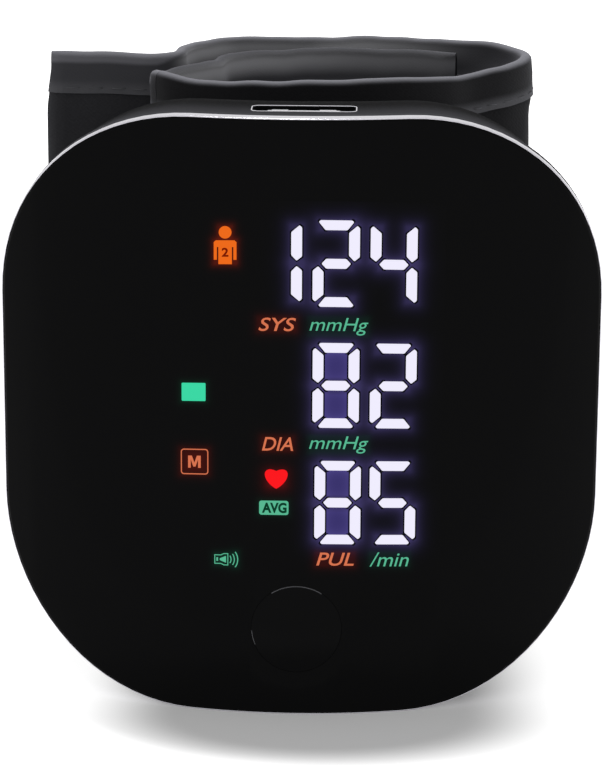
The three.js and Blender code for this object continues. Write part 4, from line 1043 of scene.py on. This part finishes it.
def swellPad(bm, band):
    start, end = band["span"]
    held = [vert.index for vert in bm.verts
            if min(vert.co.z - band["low"], band["high"] - vert.co.z) < tape["width"]
            or min(vert.co.x - start, end - vert.co.x) < swell["heldEnd"]]
    larger = bm.copy()
    bmesh.ops.scale(larger, vec=[swell["scale"]] * 3, verts=larger.verts)
    cloth = meshObject("swelling", larger)
    cloth.vertex_groups.new(name="held").add(held, 1.0, "REPLACE")
    modifier = cloth.modifiers.new("cloth", "CLOTH")
    modifier.collision_settings.use_collision = False
    modifier.settings.vertex_group_mass = "held"
    modifier.settings.use_pressure = True
    modifier.settings.uniform_pressure_force = swell["pressure"]
    modifier.settings.shrink_min = swell["slack"]
    modifier.settings.effector_weights.gravity = 0
    for step in range(1, swell["frames"] + 1):
        scene.frame_set(step)
    swelled = cloth.evaluated_get(bpy.context.evaluated_depsgraph_get()).to_mesh()
    before, after = [np.array([vert.co for vert in verts]) for verts in (bm.verts, swelled.vertices)]
    moves = after / swell["scale"] - before
    moves *= swell["cap"] / np.linalg.norm(moves, axis=1).max()
    print("pad swelled: outer side", round(moves[:len(moves) // 2, 1].mean(), 2), "mm, inner side",
          round(moves[len(moves) // 2:, 1].mean(), 2), "mm")
    for vert, shift in zip(bm.verts, moves):
        vert.co += Vector(shift)
    dropObject(cloth)
    scene.frame_set(1)


def padPiece(name, band):
    low, high = band["low"], band["high"]
    bm = uprightGrid(band["span"], (low + pad["edgeCover"], high - pad["edgeCover"]), cuff["cell"])
    for item in extrude(bm, bm.faces[:], (0, 1, 0)):
        # Past linedTo the inner side takes the paler copy of the loop knit, painted light
        item.material_index = 1 if item.calc_center_median().x < band["linedTo"] else 2
    for vert in bm.verts:
        side = 1 if vert.co.y > 0.5 else -1
        half = padHalf(vert.co.x, vert.co.z, low, high, side)
        vert.co.y = side * half * endTaper(vert.co.x, band["freeEnd"])
    mapCloth(bm)
    swellPad(bm, band)
    for vert in bm.verts:
        vert.co.z += edgeWave(vert.co.x, vert.co.z)
    wrapOnRoute(bm)
    return makePiece(name, bm, [loopKnit, tricotLining, litLoopKnit], sharpAngle=70)


def tapePiece(name, band, edge, inward):
    start, end = band["span"]
    reach = tape["width"] - tape["tip"]
    around = math.pi * math.sqrt((tape["topHalf"] ** 2 + tape["tip"] ** 2) / 2)
    whole = 2 * reach + around
    bm = bmesh.new()
    columns = round((end - start) / tape["cell"])
    bmesh.ops.create_grid(bm, x_segments=columns, y_segments=2 * tape["columns"], size=0.5)
    bmesh.ops.scale(bm, vec=(end - start, whole, 1), verts=bm.verts)
    move(bm, ((start + end) / 2, 0, 0))
    mapCloth(bm, 1)
    tones = bm.verts.layers.float_vector.new("tone")
    for vert in bm.verts:
        length, across = vert.co.x, vert.co.y
        vert[tones] = [np.interp(length, *zip(*band[kind])) for kind in ("facingShare", "foldHighlight", "wideHighlight")]
        side = 1 if across > 0 else -1
        past = abs(across) - around / 2
        ripple = tape["ripple"] * noise.noise((length / tape["rippleSize"], side * 3, edge))
        if past > 0:
            inset = tape["tip"] + past
            offset = tape["topHalf"] + (tape["half"] - tape["topHalf"]) * (past / reach) ** tape["flareCurve"]
        else:
            turn = math.pi / 2 * abs(across) / (around / 2)
            inset = tape["tip"] * (1 - math.cos(turn))
            offset = tape["topHalf"] * math.sin(turn)
        height = edge + inward * inset
        offset = (offset + ripple * abs(across) / whole) * endTaper(length, band["freeEnd"])
        vert.co = Vector((length, side * offset, height + edgeWave(length, height)))
    bm = modified(bm, "SOLIDIFY", thickness=tape["thickness"], offset=0)
    wrapOnRoute(bm)
    return makePiece(name, bm, [wovenTape], sharpAngle=60)


def stitchPiece(name, band):
    bm = bmesh.new()
    start, end = band["span"]
    offset = tape["half"] + tape["thickness"] / 2 + stitch["lift"]
    size = (stitch["length"], stitch["width"] * stitch["flatten"], stitch["width"])
    for i in range(int((end - start - 2 * stitch["endGap"]) / stitch["pitch"])):
        length = start + stitch["endGap"] + (i + 0.5) * stitch["pitch"]
        for height in (band["low"] + stitch["fromEdge"], band["high"] - stitch["fromEdge"]):
            for side in (-1, 1):
                place = (length, side * offset, height + edgeWave(length, height))
                bmesh.ops.create_uvsphere(bm, u_segments=6, v_segments=4, radius=0.5,
                                          matrix=Matrix.LocRotScale(place, None, size))
    wrapOnRoute(bm)
    return makePiece(name, bm, [sewingThread], sharpAngle=80, loose=True)


# Two points for each joint, the flap's along the line across its hinge, kept with each band
hinge = dict(flapAlong=(-0.3, 0.95), flapSteps=(7.9, 11.5),
             strapSteps=((26.5, 13.475), (25.84, 17.875)))
alongX, alongY = hinge["flapAlong"]
perStep = mm / (alongX ** 2 + alongY ** 2)
flapBlend = [(alongX * step * perStep, alongY * step * perStep, 0) for step in hinge["flapSteps"]]
strapBlend = [(x * mm, y * mm, 0) for x, y in hinge["strapSteps"]]
bands = dict(
    band=dict(span=(foldLength + cuff["foldGap"], tailLength), freeEnd=tailLength,
              low=cuff["bottom"], high=cuff["height"], linedTo=tailLength - 16,
              # A painted highlight runs along the tape's fold over the whole band, wider on the tail
              foldHighlight=[(tailLength - 16, 0.95), (tailLength - 13, 0.85)],
              wideHighlight=[(tailLength - 16, 0), (tailLength - 13, 1)],
              # Facing shares between 0 and 1 paint shade on the tape's pale facing
              facingShare=[(bendLength + 12, 0.0), (bendLength + 34, 1.0), (bendLength + 38, 0.6),
                     (bendLength + 48, 0.6), (bendLength + 53, 1.0), (tailLength - 18, 1.0),
                     (tailLength - 14, 0.0)],
              body="cuff_strap", blend=strapBlend,
              nodes=["cuff_cover", "cuff_stiffener", "cuff_bladder", "cuff_lining", "strap_cover",
                     "strap_core", "strap_lining"],
              Top=["cuff_binding_top", "strap_binding_top"],
              Bottom=["cuff_binding_bottom", "strap_binding_bottom"]),
    flap=dict(span=(0.0, foldLength - cuff["foldGap"]), freeEnd=0.0,
              low=cuff["flapBottom"], high=cuff["flapTop"], linedTo=foldLength,
              # A painted highlight along the flap's fold, brighter near the band's fold; facing shares below
              # 1 paint shade towards the flap's free end
              foldHighlight=[(0, 0.4), (foldLength - 6, 0.4), (foldLength, 0.95)], wideHighlight=[(0, 0)],
              facingShare=[(0, 0.35), (14, 0.5), (34, 0.95), (foldLength, 1.0)],
              body="cuff_flap", blend=flapBlend,
              nodes=["flap_cover", "flap_core", "flap_lining"],
              Top=["flap_binding_top"], Bottom=["flap_binding_bottom"]),
)
for name, band in bands.items():
    padded = padPiece(name + "Pad", band)
    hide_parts(*band["nodes"])
    made = [padded]
    for end, edge, inward in (("Top", band["high"], -1), ("Bottom", band["low"], 1)):
        bound = tapePiece(name + "Tape" + end, band, edge, inward)
        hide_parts(*band[end])
        made.append(bound)
    made.append(stitchPiece(name + "Stitches", band))
    for piece in made:
        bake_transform(piece)
    print("cuff piece made:", name)

patch = dict(start=0.4, end=0.62, lift=0.15, thickness=0.45, cell=1.2)
patchLow, patchHigh = [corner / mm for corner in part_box("hook_patch")]
patchRun = tailLength - strapLength
bm = uprightGrid((strapLength + patch["start"] * patchRun, strapLength + patch["end"] * patchRun),
                 (patchLow.z, patchHigh.z), patch["cell"])
extrude(bm, bm.faces[:], (0, patch["thickness"], 0))
mapCloth(bm)
move(bm, (0, cuff["thickness"] / 2 + patch["lift"], 0))
wrapOnRoute(bm)
hookPatch = makePiece("hookPatch", bm, [hookTape])
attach(hookPatch, "cuff_strap")
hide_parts("hook_patch")
print("cuff made")
